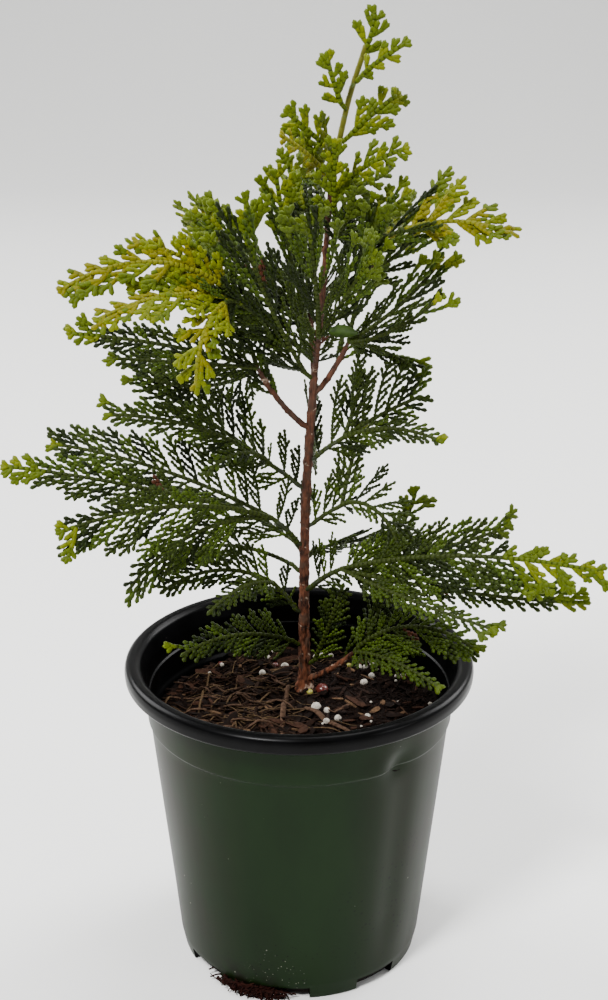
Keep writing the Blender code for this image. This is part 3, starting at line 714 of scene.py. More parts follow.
def make_fibres():
    """Strips of bark and straw, thick on the left, and a few long ones by the stem."""
    chance = random.Random(21)
    made = []
    for name, low, high, share, width in (("straw_dark", "#120b07", "#2c1d13", 0.55, (0.8, 2.0)),
                                          ("straw_tan", "#33261a", "#57452f", 0.45, (0.6, 1.3))):
        points, faces = [], []
        for _ in range(round(FIBRES * share)):
            turn = math.radians(chance.gauss(188, 42))
            start = polar(FIBRE_REACH * math.sqrt(chance.uniform(0.1, 1)), turn)
            lying_fibre(points, faces, start, chance.gauss(-22, 36), chance.uniform(10, 46),
                        chance.uniform(*width), chance.uniform(-30, 30), chance)
        finish = mix_material(name, low, high, 1.2)
        made.append(swept_piece("mix_" + name, points, faces, finish))
    points, faces = [], []
    for strip in BARK_STRIPS:
        lying_fibre(points, faces, *strip, 12, chance)
    finish = mix_material("peeled_bark_strip", "#2a1c13", "#544032", 1.4)
    made.append(swept_piece("mix_bark_strips", points, faces, finish))
    for piece in made:
        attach(piece, "root")


make_fibres()


# Place and size of each bead of perlite that can be told apart
PERLITE_SEEN = ((-6.8, 39, 4.4), (-18, 29, 3.6), (32, 19, 4.0), (8, -11, 5.0), (13.4, -12, 3.4),
                (18.4, -20, 3.7), (13.0, -23, 3.3), (31.8, -16, 3.2), (63, 4, 2.4), (47.6, 1, 1.9))


def make_grains():
    """Perlite beads and fertiliser prills, where they lie in view and a few all round."""
    chance = random.Random(31)
    grain = small_shape("grain", [(0.15, 0.36, 0.36), (0.5, 0.5, 0.5), (0.85, 0.36, 0.36)], 8,
                        (0.0, 1.0))

    def lying(x, y, size):
        height = ground(x, y) + 0.9
        along = Vector((chance.uniform(-0.3, 0.3), chance.uniform(-0.3, 0.3), 1))
        wide = size * chance.uniform(0.9, 1.15)
        return Spot(Vector((x, y, height - size * 0.2)), along, Vector((1, chance.random(), 0)),
                    Vector((wide, size, size * 0.85)))

    beads = [lying(*bead) for bead in PERLITE_SEEN]
    for _ in range(PERLITE_STREWN):
        radius = 64 * math.sqrt(chance.uniform(0.5, 1.0))
        turn = chance.uniform(0.5, math.pi - 0.5)
        beads.append(lying(*polar(radius, turn), chance.uniform(1.6, 3.8)))
    for _ in range(PERLITE_CRUMBS):
        beads.append(lying(chance.uniform(0, 50), chance.uniform(-45, 5), chance.uniform(0.8, 1.5)))
    # Expanded perlite is a dull, crumbly glass foam; the prills have a thin resin coat
    white = mottled_material("expanded_perlite", (0.85,), 1.6, (0.35, 0.6),
                             ("#7e776b", "#b5aea2"), (0.8, 0.4))
    made = [strew("perlite", beads, grain, white)]
    for tone, roughness, colour, prills in (
            ("red", 0.3, "#4a1a14",
             ((10.5, 8.5, 6.6), (52, 30, 3.0), (-40, 42, 3.2), (-12, 40, 3.4))),
            ("yellow", 0.4, "#8f8a3c", ((4.7, 5.5, 3.4), (25, 43, 3.2)))):
        finish, _, shader = start_material("coated_fertiliser_" + tone, roughness)
        shader.inputs["Base Color"].default_value = (*linear(colour), 1)
        spots = [lying(*prill) for prill in prills]
        made.append(strew("fertiliser_" + tone, spots, grain, finish))
    for piece in made:
        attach(piece, "root")


make_grains()


def make_root_tuft():
    """Fine roots and bark fibre that have grown out through the front left drain notch."""
    chance = random.Random(41)
    points, faces = [], []
    for number in range(ROOT_STRANDS):
        turn = math.radians(-131 + number + chance.uniform(-2, 2))
        path = []
        height = chance.uniform(1.2, 5.0)
        for step in range(7):
            radius = NOTCH_RADIUS + 0.13 * height + chance.uniform(-0.3, 0.9)
            path.append(Vector((*polar(radius, turn), height)))
            turn += math.radians(chance.uniform(1.2, 2.4))
            height = max(0.9, height + chance.uniform(-1.0, 0.6))
        wide = chance.uniform(0.4, 0.9)
        swept(points, faces, path, [wide * (1.0 - 0.1 * step) for step in range(7)], 5)
    for _ in range(ROOT_FIBRES):
        heading = math.radians(chance.gauss(-113, 8))
        radius = chance.uniform(54, 60)
        path = [Vector((*polar(radius, heading), chance.uniform(1.0, 6.0)))]
        drift = math.radians(chance.gauss(-112, 70))
        for step in range(5):
            place = path[-1] + Vector((*polar(1, drift), chance.uniform(-0.5, 0.3))) * 1.1
            place.z = max(place.z, 0.5)
            if math.hypot(place.x, place.y) > 64:
                break
            path.append(place)
            drift += chance.uniform(-0.6, 0.6)
        if len(path) > 2:
            swept(points, faces, path, [chance.uniform(0.2, 0.5)] * len(path), 4)
    roots = mix_material("fine_roots", "#0a0403", "#2c120c", 2.0)
    piece = swept_piece("root_tuft", points, faces, roots)
    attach(piece, "root")


make_root_tuft()

# Trunk and boughs
# One slender stem with thin flaking red-brown bark, rough at the foot, ringed by the pale
# scars of shed scale leaves; it forks at mid height and its green-gold leader still grows.

TRUNK_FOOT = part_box("trunk")[0].z / MM
TRUNK_WAY = (
    (TRUNK_FOOT, 2.8, 11.0),
    (176.0, 2.3, 8.0),
    (228.0, 3.2, 6.0),
    (280.0, 6.3, 3.5),
    (327.0, 10.6, 4.0),
    (370.0, 13.9, 6.0),
    (403.0, 20.0, 6.0),
    (425.0, 26.4, 4.0),
)
FORK_HEIGHT = 282.0
FOOT_RADIUS_TRUNK = 2.6
FORK_RADIUS = 1.85
ABOVE_FORK_RADIUS = 1.45
LEADER_RADIUS = 1.0
FLARE = 2.3
FLARE_HEIGHT = 5.0
GAP = 0.3
SCAR_SPACING = 14.0
SCAR_SHARE = 0.06
SCAR_SWELL = 0.3
FLAKE_WIDTH = 1.3
FLAKE_LENGTH = 4.0
FLAKE_DEPTH = 0.75
RIND_SHARE = 0.72

Bough = namedtuple("Bough", "height heading rise end length foot tip")
BOUGHS = {
    "bough_right_foot": Bough(136, -32, 30, 48, 27, 1.5, 1.2),
    "bough_left_low": Bough(172, -156, 62, 48, 16, 1.3, 1.1),
    "bough_right_low": Bough(184, -48, 45, 32, 24, 1.5, 1.2),
    "bough_left_mid": Bough(207, -148, 58, 40, 17, 1.5, 1.2),
    "bough_back_low": Bough(208, 88, 36, 30, 16, 1.4, 1.1),
    "bough_right_mid": Bough(216, -10, 45, 30, 14, 1.2, 1.0),
    "bough_left_high": Bough(235, -175, 45, 35, 13, 1.3, 1.1),
    "bough_right_high": Bough(249, 0, 45, 30, 13, 1.3, 1.1),
    "bough_left": Bough(265, -156, 42, 62, 34, 1.4, 1.1),
    "bough_right": Bough(282, 14, 50, 64, 21, 1.45, 1.15),
    "bough_front": Bough(292, -88, 35, 42, 30, 1.3, 1.1),
    "bough_back": Bough(289, 95, 45, 60, 28, 1.5, 1.2),
    "bough_gold_left": Bough(297, -147, 40, 38, 44, 1.5, 1.2),
}
WOODY = ("bough_right_foot", "bough_left", "bough_right", "bough_front", "bough_back")


def trunk_point(share):
    """Point of the trunk's centre line, by a smooth curve through its route."""
    spans = len(TRUNK_WAY) - 1
    span = min(int(share * spans), spans - 1)
    local = share * spans - span
    places = []
    for index in range(span - 1, span + 3):
        height, x, y = TRUNK_WAY[min(max(index, 0), spans)]
        places.append(Vector((x, y, height)))
    before, start, end, after = places
    square = local * local
    cube = square * local
    return 0.5 * (2 * start + (end - before) * local
                  + (2 * before - 5 * start + 4 * end - after) * square
                  + (3 * start - before - 3 * end + after) * cube)


def trunk_radius(height):
    """Half thickness of the trunk at a height, with the flare at its foot."""
    flare = FLARE * math.exp(-(height - TRUNK_FOOT) / FLARE_HEIGHT)
    if height < FORK_HEIGHT:
        share = (height - TRUNK_FOOT) / (FORK_HEIGHT - TRUNK_FOOT)
        return FOOT_RADIUS_TRUNK + (FORK_RADIUS - FOOT_RADIUS_TRUNK) * share + flare
    top = TRUNK_WAY[-1][0]
    share = (height - FORK_HEIGHT) / (top - FORK_HEIGHT)
    step = (FORK_RADIUS - ABOVE_FORK_RADIUS) * math.exp(-(height - FORK_HEIGHT) / 4.0)
    return ABOVE_FORK_RADIUS + (LEADER_RADIUS - ABOVE_FORK_RADIUS) * share + step


def trunk_share(height):
    """Share of the route at which the trunk reaches a height."""
    low, high = 0.0, 1.0
    for _ in range(30):
        middle = (low + high) / 2
        if trunk_point(middle).z < height:
            low = middle
        else:
            high = middle
    return low


def way(heading, rise):
    """Unit vector of a heading and a rise in degrees."""
    turn = math.radians(heading)
    lift = math.radians(rise)
    return Vector((*polar(math.cos(lift), turn), math.sin(lift)))


def curve_path(foot, heading, drift, rise, end, length, steps):
    """Points along a line that turns by its drift and bends from rise to end."""
    path = [foot.copy()]
    for step in range(steps):
        share = (step + 0.5) / steps
        direction = way(heading + drift * share, rise + (end - rise) * share)
        path.append(path[-1] + direction * (length / steps))
    return path


def foot_on_trunk(height, heading, rise, radius):
    """Where a limb of a radius starts, at the trunk's surface."""
    centre = trunk_point(trunk_share(height))
    reach = trunk_radius(height) + GAP + radius * abs(math.sin(math.radians(rise))) + 0.1
    return centre + way(heading, 0) * reach


def bark_relief(point, age):
    """How far the bark stands out: long flakes, finer cracks, and swellings at the scars."""
    place = Vector((point.x / FLAKE_WIDTH, point.y / FLAKE_WIDTH, point.z / FLAKE_LENGTH))
    flake = noise.fractal(place, 1.0, 2.0, 3)
    ring = abs((point.z / SCAR_SPACING + 0.3 * noise.noise(point / 9)) % 1.0 - 0.5)
    swelling = math.exp(-(ring / SCAR_SHARE) ** 2)
    return age * (FLAKE_DEPTH * flake) + SCAR_SWELL * swelling


def bark_tube(points, faces, path, radii, sides, ages):
    """A limb whose surface carries the bark's relief."""
    first = len(points)
    swept(points, faces, path, radii, sides)
    for index, centre in enumerate(path[1:-1], 1):
        for number in range(first + index * sides, first + (index + 1) * sides):
            spoke = points[number] - centre
            length = spoke.length
            grown = length + bark_relief(points[number], ages[index]) * min(1.0, length)
            points[number] = centre + spoke * grown / length


def bark():
    # Thin young cypress bark: red-brown flakes over orange-brown, pale leaf scars round it,
    # greyer in old patches and higher up
    made, tree, shader = start_material("flaking_cypress_bark", 0.82, 1.4, 0.22)
    tone, grain = noise_mix(tree, 1.6, 0.36, 0.62, ("#1a0c06", "#6e402a"), (1, 1, 0.36), 7.0)
    place = add_node(tree, "ShaderNodeTexCoord")
    rings = add_node(tree, "ShaderNodeTexWave",
                     {"bands_direction": "Z", "Scale": 2 * math.pi / (20 * SCAR_SPACING * MM),
                      "Distortion": 9.0, "Detail": 3.0, "Detail Scale": 2.0},
                     {"Vector": place.outputs["Object"]})
    scar = add_node(tree, "ShaderNodeMapRange", {"From Min": 0.975, "From Max": 0.998},
                    {"Value": rings.outputs["Fac"]})
    broken = add_node(tree, "ShaderNodeMath", {"operation": "MULTIPLY"},
                      {0: scar.outputs[0], 1: patches(tree, 2.4, 0.5, 0.66, 1.0)})
    parts = add_node(tree, "ShaderNodeSeparateXYZ", links={"Vector": place.outputs["Object"]})
    height = add_node(tree, "ShaderNodeMapRange",
                      {"From Min": 150 * MM, "From Max": 240 * MM, "To Max": 0.6},
                      {"Value": parts.outputs["Z"]})
    old = patches(tree, 6, 0.48, 0.6, 3.0, most=0.7)
    tone = layered(tree, tone, ("#46372c", old), ("#38261e", height.outputs[0]),
                   ("#a08a78", broken.outputs[0]))
    cover(tree, shader, tone, grain, 1.0, 0.8)
    return made


def growing_stem():
    # Leader: smooth olive to golden skin, browner where it turns to wood
    made, tree, shader = start_material("green_gold_stem_skin", 0.5, 1.42)
    place = add_node(tree, "ShaderNodeTexCoord")
    parts = add_node(tree, "ShaderNodeSeparateXYZ", links={"Vector": place.outputs["Object"]})
    ramp = add_node(tree, "ShaderNodeValToRGB", links={"Fac": parts.outputs["Z"]})
    elements = ramp.color_ramp.elements
    elements.new(0.386)
    for element, height, value in zip(elements, (366, 386, 410), ("#2a170e", "#40380c", "#4a580e")):
        element.position, element.color = height * MM, (*linear(value), 1)
    tree.links.new(ramp.outputs["Color"], shader.inputs["Base Color"])
    return made


def green_rind():
    # Young side limbs still wrapped in pressed green scale leaves
    return mottled_material("green_scaled_rind", (0.55, 1.42), 2.2, (0.35, 0.65),
                            ("#151d04", "#252e0b"), (0.5, 0.3), (1, 1, 0.5))


BARK = bark()
STEM_SKIN = growing_stem()
RIND = green_rind()
LEADER_START = 378.0
TRUNK_RINGS = 420
SMOOTH_HEIGHT = 215
SMOOTHING = 60
LEADER_AGE = 0.12
BOUGH_AGE = 0.45
BOUGH_ROOT = 0.75


def make_trunk():
    """Trunk and leader as two tubes, which overlap a little where bark turns to green skin."""
    path = [trunk_point((ring / TRUNK_RINGS) ** 1.1) for ring in range(TRUNK_RINGS + 1)]
    path[0].z = TRUNK_FOOT - 1.5
    old = [point for point in path if point.z <= LEADER_START + 2]
    young = [point for point in path if point.z >= LEADER_START - 2]
    worn = [min(1.0, max(0.5, (SMOOTH_HEIGHT - point.z) / SMOOTHING)) for point in old]
    for name, line, share, sides, ages, finish in (
            ("trunk_bark", old, 1.0, 36, worn, BARK),
            ("leader_stem", young, 0.85, 20, [LEADER_AGE] * len(young), STEM_SKIN)):
        points, faces = [], []
        radii = [trunk_radius(point.z) * share for point in line]
        bark_tube(points, faces, line, radii, sides, ages)
        piece = swept_piece(name, points, faces, finish)
        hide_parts("trunk")
        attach(piece, "root")


make_trunk()


def bough_path(name):
    """Centre line of a bough, from the trunk's surface to its tip, and its tip's direction."""
    data = BOUGHS[name]
    foot = foot_on_trunk(data.height, data.heading, data.rise, data.foot)
    coarse = max(3, round(data.length / 6))
    path = curve_path(foot, data.heading, 0, data.rise, data.end, data.length, coarse)
    fine = []
    for start, end in zip(path, path[1:]):
        fine += [start.lerp(end, step / 6) for step in range(6)]
    return [*fine, path[-1]], (path[-1] - path[-2]).normalized()


def make_boughs():
    """Boughs grown into the trunk: woody ones in bark, young ones in green rind."""
    tips = {}
    for group, names, finish in (("boughs_bark", WOODY, BARK),
                                 ("boughs_rind", [n for n in BOUGHS if n not in WOODY], RIND)):
        points, faces = [], []
        for name in names:
            data = BOUGHS[name]
            path, direction = bough_path(name)
            tips[name] = (path[-1], direction)
            inward = (trunk_point(trunk_share(data.height - 2)) - path[0]) * BOUGH_ROOT
            path = [path[0] + inward, path[0] + inward * 0.5, *path, path[-1] + direction * 0.6]
            count = len(path)
            slim = 1.0 if name in WOODY else RIND_SHARE
            radii = [slim * (data.foot + (data.tip - data.foot) * index / count)
                     for index in range(count)]
            bark_tube(points, faces, path, radii, 16, [BOUGH_AGE] * count)
        piece = swept_piece(group, points, faces, finish)
        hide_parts(*names)
        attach(piece, "root")
    top = trunk_point(1.0)
    tips["leader"] = (top, (top - trunk_point(0.97)).normalized())
    return tips


BOUGH_TIPS = make_boughs()

# Foliage
# Flat fans of scale-leaved twigs: a midrib with side sprays left and right, each with short
# spurs, all wrapped in pairs of overlapping scale leaves. Old fans are deep green, and this
# year's growth at their ends is fatter, lime or golden where the sun reached it.

FRONT = -90
Fan = namedtuple("Fan", "heading drift rise end length upper lower tilt young hue bare face",
                 defaults=(1.0, "lime", 0.0, FRONT))

MASSES = {
    "mass_left_pot": ("trunk", 154, (Fan(-150, 19, 30, -8, 72, 14, 16, 35),)),
    "mass_right_foot": ("trunk", 144, (Fan(-36, -11, 67, 70, 52, 14, 12, 20),)),
    "mass_right_pot": ("bough_right_foot", None, (
        Fan(-22, -12, 54, -27, 73, 14, 26, 40, 0.95, "mid"),
        Fan(-55, 14, 22, -18, 60, 8, 12, 50, 0.95, "mid"),
        Fan(24, 27, 46, 68, 40, 12, 14, 15))),
    "mass_left_low": ("bough_left_low", None, (
        Fan(-160, 20, 38, -22, 66, 18, 14, 20),
        Fan(-120, -6, 30, -20, 58, 8, 12, 45))),
    "mass_left_mid": ("bough_left_mid", None, (
        Fan(172, -5, 28, 4, 112, 28, 24, 15, 0.95),
        Fan(-163, -10, 22, 10, 128, 18, 22, 35, 0.84, bare=0.36),
        Fan(-145, -12, 28, -14, 110, 16, 34, 22, 0.92, bare=0.34),
        Fan(-152, 0, 16, -50, 84, 14, 24, 20, bare=0.22))),
    "mass_left_inner": ("trunk", 192, (Fan(158, -12, 22, -42, 78, 14, 16, 5, bare=0.35),)),
    "mass_left_high": ("bough_left_high", None, (
        Fan(167, 0, 35, 26, 79, 24, 18, 10),
        Fan(-158, -14, 42, 2, 86, 18, 16, 30, 0.96, bare=0.3),
        Fan(-134, -4, 52, -38, 48, 10, 8, 40))),
    "mass_left_bough": ("bough_left", None, (
        Fan(-179, 8, 18, 6, 87, 14, 16, 20, 0.82),
        Fan(-150, -12, 12, 8, 72, 12, 14, 45, 0.96, bare=0.25),
        Fan(142, 30, -38, 20, 68, 12, 14, 5),
        Fan(125, 20, 60, 52, 54, 18, 18, 15))),
    "mass_gold_left": ("bough_gold_left", None, (
        Fan(-148, -13, 50, -32, 90, 15, 26, 30, 0.12, "gold"),
        Fan(-136, -6, 24, -18, 78, 12, 24, 45, 0.1, "gold"),
        Fan(-163, 10, 52, 14, 58, 14, 18, 35, 0.16, "gold"),
        Fan(-120, 14, 20, -90, 60, 17, 17, 20, 0.2, "gold"))),
    "mass_lime_left": ("trunk", 308, (
        Fan(176, -8, 53, 37, 75, 18, 14, 10, 0.76),
        Fan(150, -14, 32, 30, 74, 16, 16, 25, 0.72, "mid"),
        Fan(-170, 10, 74, 82, 74, 14, 14, 15, 0.74))),
    "mass_crown_left": ("trunk", 288, (
        Fan(-124, -44, 50, 80, 88, 26, 26, 20, 0.8),
        Fan(-165, 0, 40, 54, 80, 20, 18, 15, 0.86))),
    "mass_crown_front": ("bough_front", None, (
        Fan(-86, -34, 50, 82, 66, 22, 22, 30, 0.8, "mid"),
        Fan(-58, 10, 46, 52, 60, 18, 18, 40, 0.72, "mid"))),
    "mass_right_bough": ("bough_right", None, (
        Fan(-30, 60, 34, 50, 61, 16, 16, 15, 0.86, "gold"),
        Fan(-56, 29, 12, 46, 62, 12, 14, 40, 0.93, "gold"),
        Fan(-12, 0, -6, -34, 37, 10, 9, 10),
        Fan(-80, 50, 60, 84, 68, 20, 20, 25, 0.86, "mid"))),
    "mass_gold_right": ("trunk", 322, (
        Fan(-30, 15, 66, -18, 96, 20, 18, 35, 0.5, "gold"),
        Fan(6, 15, 24, 56, 72, 14, 14, 10, 0.62, "gold"))),
    "mass_right_high": ("bough_right_high", None, (
        Fan(-8, -10, 38, 26, 45, 34, 18, 15),
        Fan(-30, 0, 30, -16, 54, 12, 12, 40, 0.92, bare=0.2),
        Fan(45, 0, 62, 70, 36, 12, 12, 10))),
    "mass_right_mid": ("bough_right_mid", None, (
        Fan(-40, -8, 34, -70, 45, 22, 10, 30),
        Fan(60, -50, 70, 76, 42, 12, 10, 10, 0.93))),
    "mass_right_low": ("bough_right_low", None, (
        Fan(-16, 4, -8, 3, 116, 24, 12, 25, 0.86, bare=0.06),
        Fan(8, 8, 6, 14, 86, 20, 16, 10, 0.9, "mid"),
        Fan(-27, 6, 23, -5, 126, 14, 30, 25, 0.64, bare=0.15),
        Fan(44, -31, -10, 84, 62, 12, 12, 15, 0.8, "mid"),
        Fan(-54, 33, 0, -10, 88, 10, 12, 55, 0.95, "mid", bare=0.2))),
    "mass_leader": ("leader", None, (Fan(-22, 38, 60, 92, 21, 10, 10, 0, 0.0),)),
    "mass_top_right": ("trunk", 416, (Fan(-50, 38, 37, 31, 30, 8, 7, 15, 0.0),)),
    "mass_top_left": ("trunk", 405, (Fan(-130, -60, 62, 80, 25, 10, 9, 10, 0.0),)),
    "mass_upper_left": ("trunk", 385, (Fan(-122, -46, 32, 42, 34, 14, 12, 20, 0.0),)),
    "mass_upper_right": ("trunk", 391, (Fan(-12, 50, 48, 27, 32, 12, 14, 5, 0.0),)),
    "mass_side_right": ("trunk", 369, (
        Fan(-60, 42, 40, 20, 44, 12, 12, 25, 0.0),
        Fan(20, 22, 0, 28, 31, 9, 8, 5, 0.0, "mid"))),
    "mass_gold_top": ("trunk", 375, (Fan(-124, -10, 40, 26, 40, 11, 10, 30, 0.0, "gold"),)),
    "mass_shoots": ("trunk", 348, (
        Fan(152, -14, 24, 58, 36, 12, 12, 10, 0.6),
        Fan(40, -29, 10, 37, 42, 14, 14, 10, 0.55),
        Fan(-98, 10, 58, 84, 50, 13, 13, 10, 0.3),
        Fan(-60, -12, 40, 66, 34, 11, 11, 15, 0.4, "mid"))),
    "mass_back_low": ("bough_back_low", None, (Fan(86, 0, 18, -12, 78, 20, 22, 4, 0.9, face=0),)),
    "mass_back_left": ("trunk", 203, (Fan(140, 8, 20, -8, 92, 22, 22, 56, 0.92, face=33),)),
    "mass_back_right": ("trunk", 199, (Fan(44, -6, -2, -28, 92, 22, 22, 53, 0.92, face=150),)),
    "mass_back_mid": ("trunk", 250, (Fan(86, 2, 30, 6, 70, 20, 18, 6, 0.9, face=0),)),
    "mass_crown_back": ("bough_back", None, (
        Fan(140, 10, 28, 22, 82, 22, 20, 30, 0.6, "gold", face=90),
        Fan(96, 0, 40, 30, 80, 24, 22, 35, 0.7, face=60),
        Fan(48, -8, 30, 24, 80, 22, 20, 30, 0.65, "gold", face=90),
        Fan(110, -10, 74, 70, 66, 20, 20, 20, 0.8, face=90))),
    "mass_back_upper": ("trunk", 362, (Fan(112, 10, 40, 50, 48, 14, 14, 25, 0.3, face=90),)),
}

# The rule of growth, in millimetres and degrees: old growth is fine, young growth coarse.
# Of a pair of values, the first is for spread fans or the foot of a rib, and the second for
# upright fans or its tip.
STEM_LENGTH = 4.0
STEM_RISE = 40.0
STEM_RADIUS = 1.15
MIDRIB_FOOT = 0.6
MIDRIB_TIP = 0.25
UPRIGHT = ("mass_lime_left", "mass_crown_left", "mass_crown_front", "mass_right_bough",
           "mass_gold_right", "mass_crown_back")
Growth = namedtuple("Growth", "spur_step spur_angle spur_reach leaf_length leaf_width end_bare "
                              "overlap looseness")
OLD = Growth(3.9, 35.0, 8.4, 1.9, 1.72, 4.4, 1.04, 5.0)
CROWN = Growth(7.2, 24.0, 13.0, 2.2, 1.75, 5.0, 1.04, 6.0)
YOUNG = Growth(3.7, 40.0, 5.0, 2.4, 2.2, 1.6, 1.45, 12.0)
GOLDEN = Growth(4.4, 44.0, 7.0, 2.5, 2.3, 1.6, 1.45, 14.0)
FRESH = (YOUNG, GOLDEN)
# Side sprays: angles, spacing, reach and bare ends
SIDE_FIRST = 0.03
SIDE_ANGLE_FOOT = 62.0
SIDE_ANGLE_TIP = 38.0
SIDE_BEND = 20.0
SIDE_TIP_OVERS = (10.0, 26.0)
SIDE_LOOSENESS = 5
SIDE_STEP = 1.35
SIDE_STEP_GAIN = 0.07
UPRIGHT_ANGLES = (34.0, 22.0)
UPRIGHT_REACH = 1.5
CROWN_STEP_GAIN = 2.0
YOUNG_ANGLE = 52.0
YOUNG_LOOSENESS = 16
YOUNG_SIDE_STEP = 3.5
GOLDEN_SIDE_STEP = 3.9
SHORTEST_SIDE = 3
SIDES_END_BARE = 1.5
RIB_END_BARE = 2.5
DEAD_CHANCE = 0.007
DEAD_REACH = 0.5
# How the reach of a side spray swells near the foot of a fan and fades to its tip
SWELL_START = 0.26
SWELL_LENGTH = 0.4
SWELL_POWER = 0.8
FADE_POWER = 0.42
LEAST_REACH = 0.1
# Spurs, and the young tufts and tips that end some sprays
SPUR_BEND = 14.0
SPUR_LIFT = 0.14
FAN_SHARE = 0.7
INNER_FIRST = 0.5
INNER_REACH = 0.6
END_CHANCES = (0.16, 0.6)
END_BAND = (0.1, 0.4)
END_SHARE = 0.55
TUFT_LENGTH = 6.0
TIP_LENGTH = 0.5
# Scale leaves: they swell to the outside of a fan and keep clear of the trunk
OUTER_SWELL = 0.3
SWELL_CURVE = 1.6
LEAF_FLATNESS = 0.7
LEAF_CLEARANCE = 0.9
BARE_FRONT = 3.4
RIB_WIDTHS = (2.4, 1.8)
YOUNG_RIB_WIDTHS = (2.7, 2.1)
RIB_LEAF = 2.4
LEADER_LEAF = 4.2
LEADER_SPREAD = 2.45
# Share of a midrib that is older at its foot. It has such a foot where its fan turns young
# only beyond WOODY_FROM, and a pale stem under it where the fan does before PALE_BELOW.
WOODY_SHARE = 0.25
WOODY_FROM = 0.7
PALE_BELOW = 0.2
# Leaf colours that a side spray may draw, by the hue of its fan, and those of ribs and stems.
# The darker and lighter copies of the old green are painted shade and painted light; the crown
# draws more painted shade, and mid fans more painted light
YOUNG_TINTS = {"mid": ("mid", "mid", "lime"), "lime": ("lime", "lime_bright")}
OLD_TINTS = ("old", "old", "old_deep", "old_bright")
MID_TINTS = ("old", "old_bright", "old_bright")
CROWN_TINTS = ("old", "old_deep", "old_deep", "old")
RIB_TINTS = {"gold": "gold_pale", "mid": "mid", "lime": "lime"}
STEM_TINTS = {"pale": "lime", "green": "rib", "brown": None}
# Bounds between which a factor or a place is drawn at random
SIDE_VARIES = (0.8, 1.12)
YOUNG_VARIES = (0.75, 1.15)
BOUGH_VARIES = (0.75, 1.0)
TUFT_VARIES = (0.7, 1.2)
SPUR_START = (0.4, 0.8)
SPUR_GAPS = (0.9, 1.1)
SPUR_VARIES = (0.8, 1.1)
GOLD_TURNS_LIME = (0.35, 0.95)

leaf_spots = defaultdict(list)
twig_lines = {"green": [], "brown": [], "pale": []}


def side_reach(share):
    """How much of its full length a side spray has at a share of the midrib."""
    grow = min(1.0, (share + SWELL_START) / SWELL_LENGTH) ** SWELL_POWER
    return grow * (1.0 - share) ** FADE_POWER + LEAST_REACH


def fan_frame(fan, path, index):
    """Direction, upper side and face of a fan at one point of its midrib."""
    direction = direction_at(path, index)
    face = squared(way(fan.face, fan.tilt), direction)
    side = face.cross(direction)
    if math.cos(math.radians(fan.heading)) * math.cos(math.radians(fan.face + 90)) < 0:
        side = -side
    return direction, side, face


def point_on(path, place):
    """Point of a line at a place counted in its steps, and the number of that step."""
    span = min(int(place), len(path) - 2)
    return path[span].lerp(path[span + 1], place - span), span


def set_leaf(tint, place, direction, face, *size):
    """Notes one pair of scale leaves; its size is its width, depth and length."""
    leaf_spots[tint].append(Spot(place, direction, face, Vector(size)))


def leaving(direction, side, hand, angle, loose, chance):
    """A way off to one hand of a bearer, at about an angle to its direction."""
    turn = math.radians(angle + chance.uniform(-loose, loose))
    return direction * math.cos(turn) + side * hand * math.sin(turn)


def set_off(frame, hand, angle, loose, roll, chance):
    """Direction, face and bend of a side spray that leaves its bearer at about an angle."""
    direction, side, face = frame
    leave = leaving(direction, side, hand, angle, loose, chance)
    leave = Matrix.Rotation(math.radians(chance.uniform(-roll, roll)), 3, direction) @ leave
    upward = squared(face, leave)
    return leave, upward, 1 if side.dot(upward.cross(leave)) * hand > 0 else -1


def blocked(point):
    """True where a leaf would touch the trunk, hide its bare front, or meet pot or mix."""
    if point.z < TRUNK_WAY[-1][0]:
        away = point - trunk_point(trunk_share(point.z))
        if math.hypot(away.x, away.y) < trunk_radius(point.z) + LEAF_CLEARANCE:
            return True
        if point.z < FORK_HEIGHT and abs(away.x) < BARE_FRONT and away.y < 0:
            return True
    if point.z >= POT_HEIGHT + 1.0:
        return False
    outside = math.hypot(point.x, point.y) > SOIL_RADIUS - 2
    return outside or point.z < ground(point.x, point.y) + 1.5


def leaf_chain(start, direction, face, length, bend, growth, tint, end_tint=None):
    """A run of scale-leaf pairs along a bending line; gives back its places and directions."""
    count = max(1, round(length / growth.leaf_length))
    stride = length / count
    turn = Matrix.Rotation(math.radians(bend / count), 3, face)
    places, headings = [start], [direction]
    for index in range(count):
        ahead = places[-1] + headings[-1] * stride
        if blocked(ahead):
            break
        shade = end_tint if end_tint and index >= END_SHARE * count else tint
        set_leaf(shade, places[-1], headings[-1], face, growth.leaf_width,
                 growth.leaf_width * LEAF_FLATNESS, stride * growth.overlap)
        places.append(ahead)
        headings.append(turn @ headings[-1])
    return places, headings


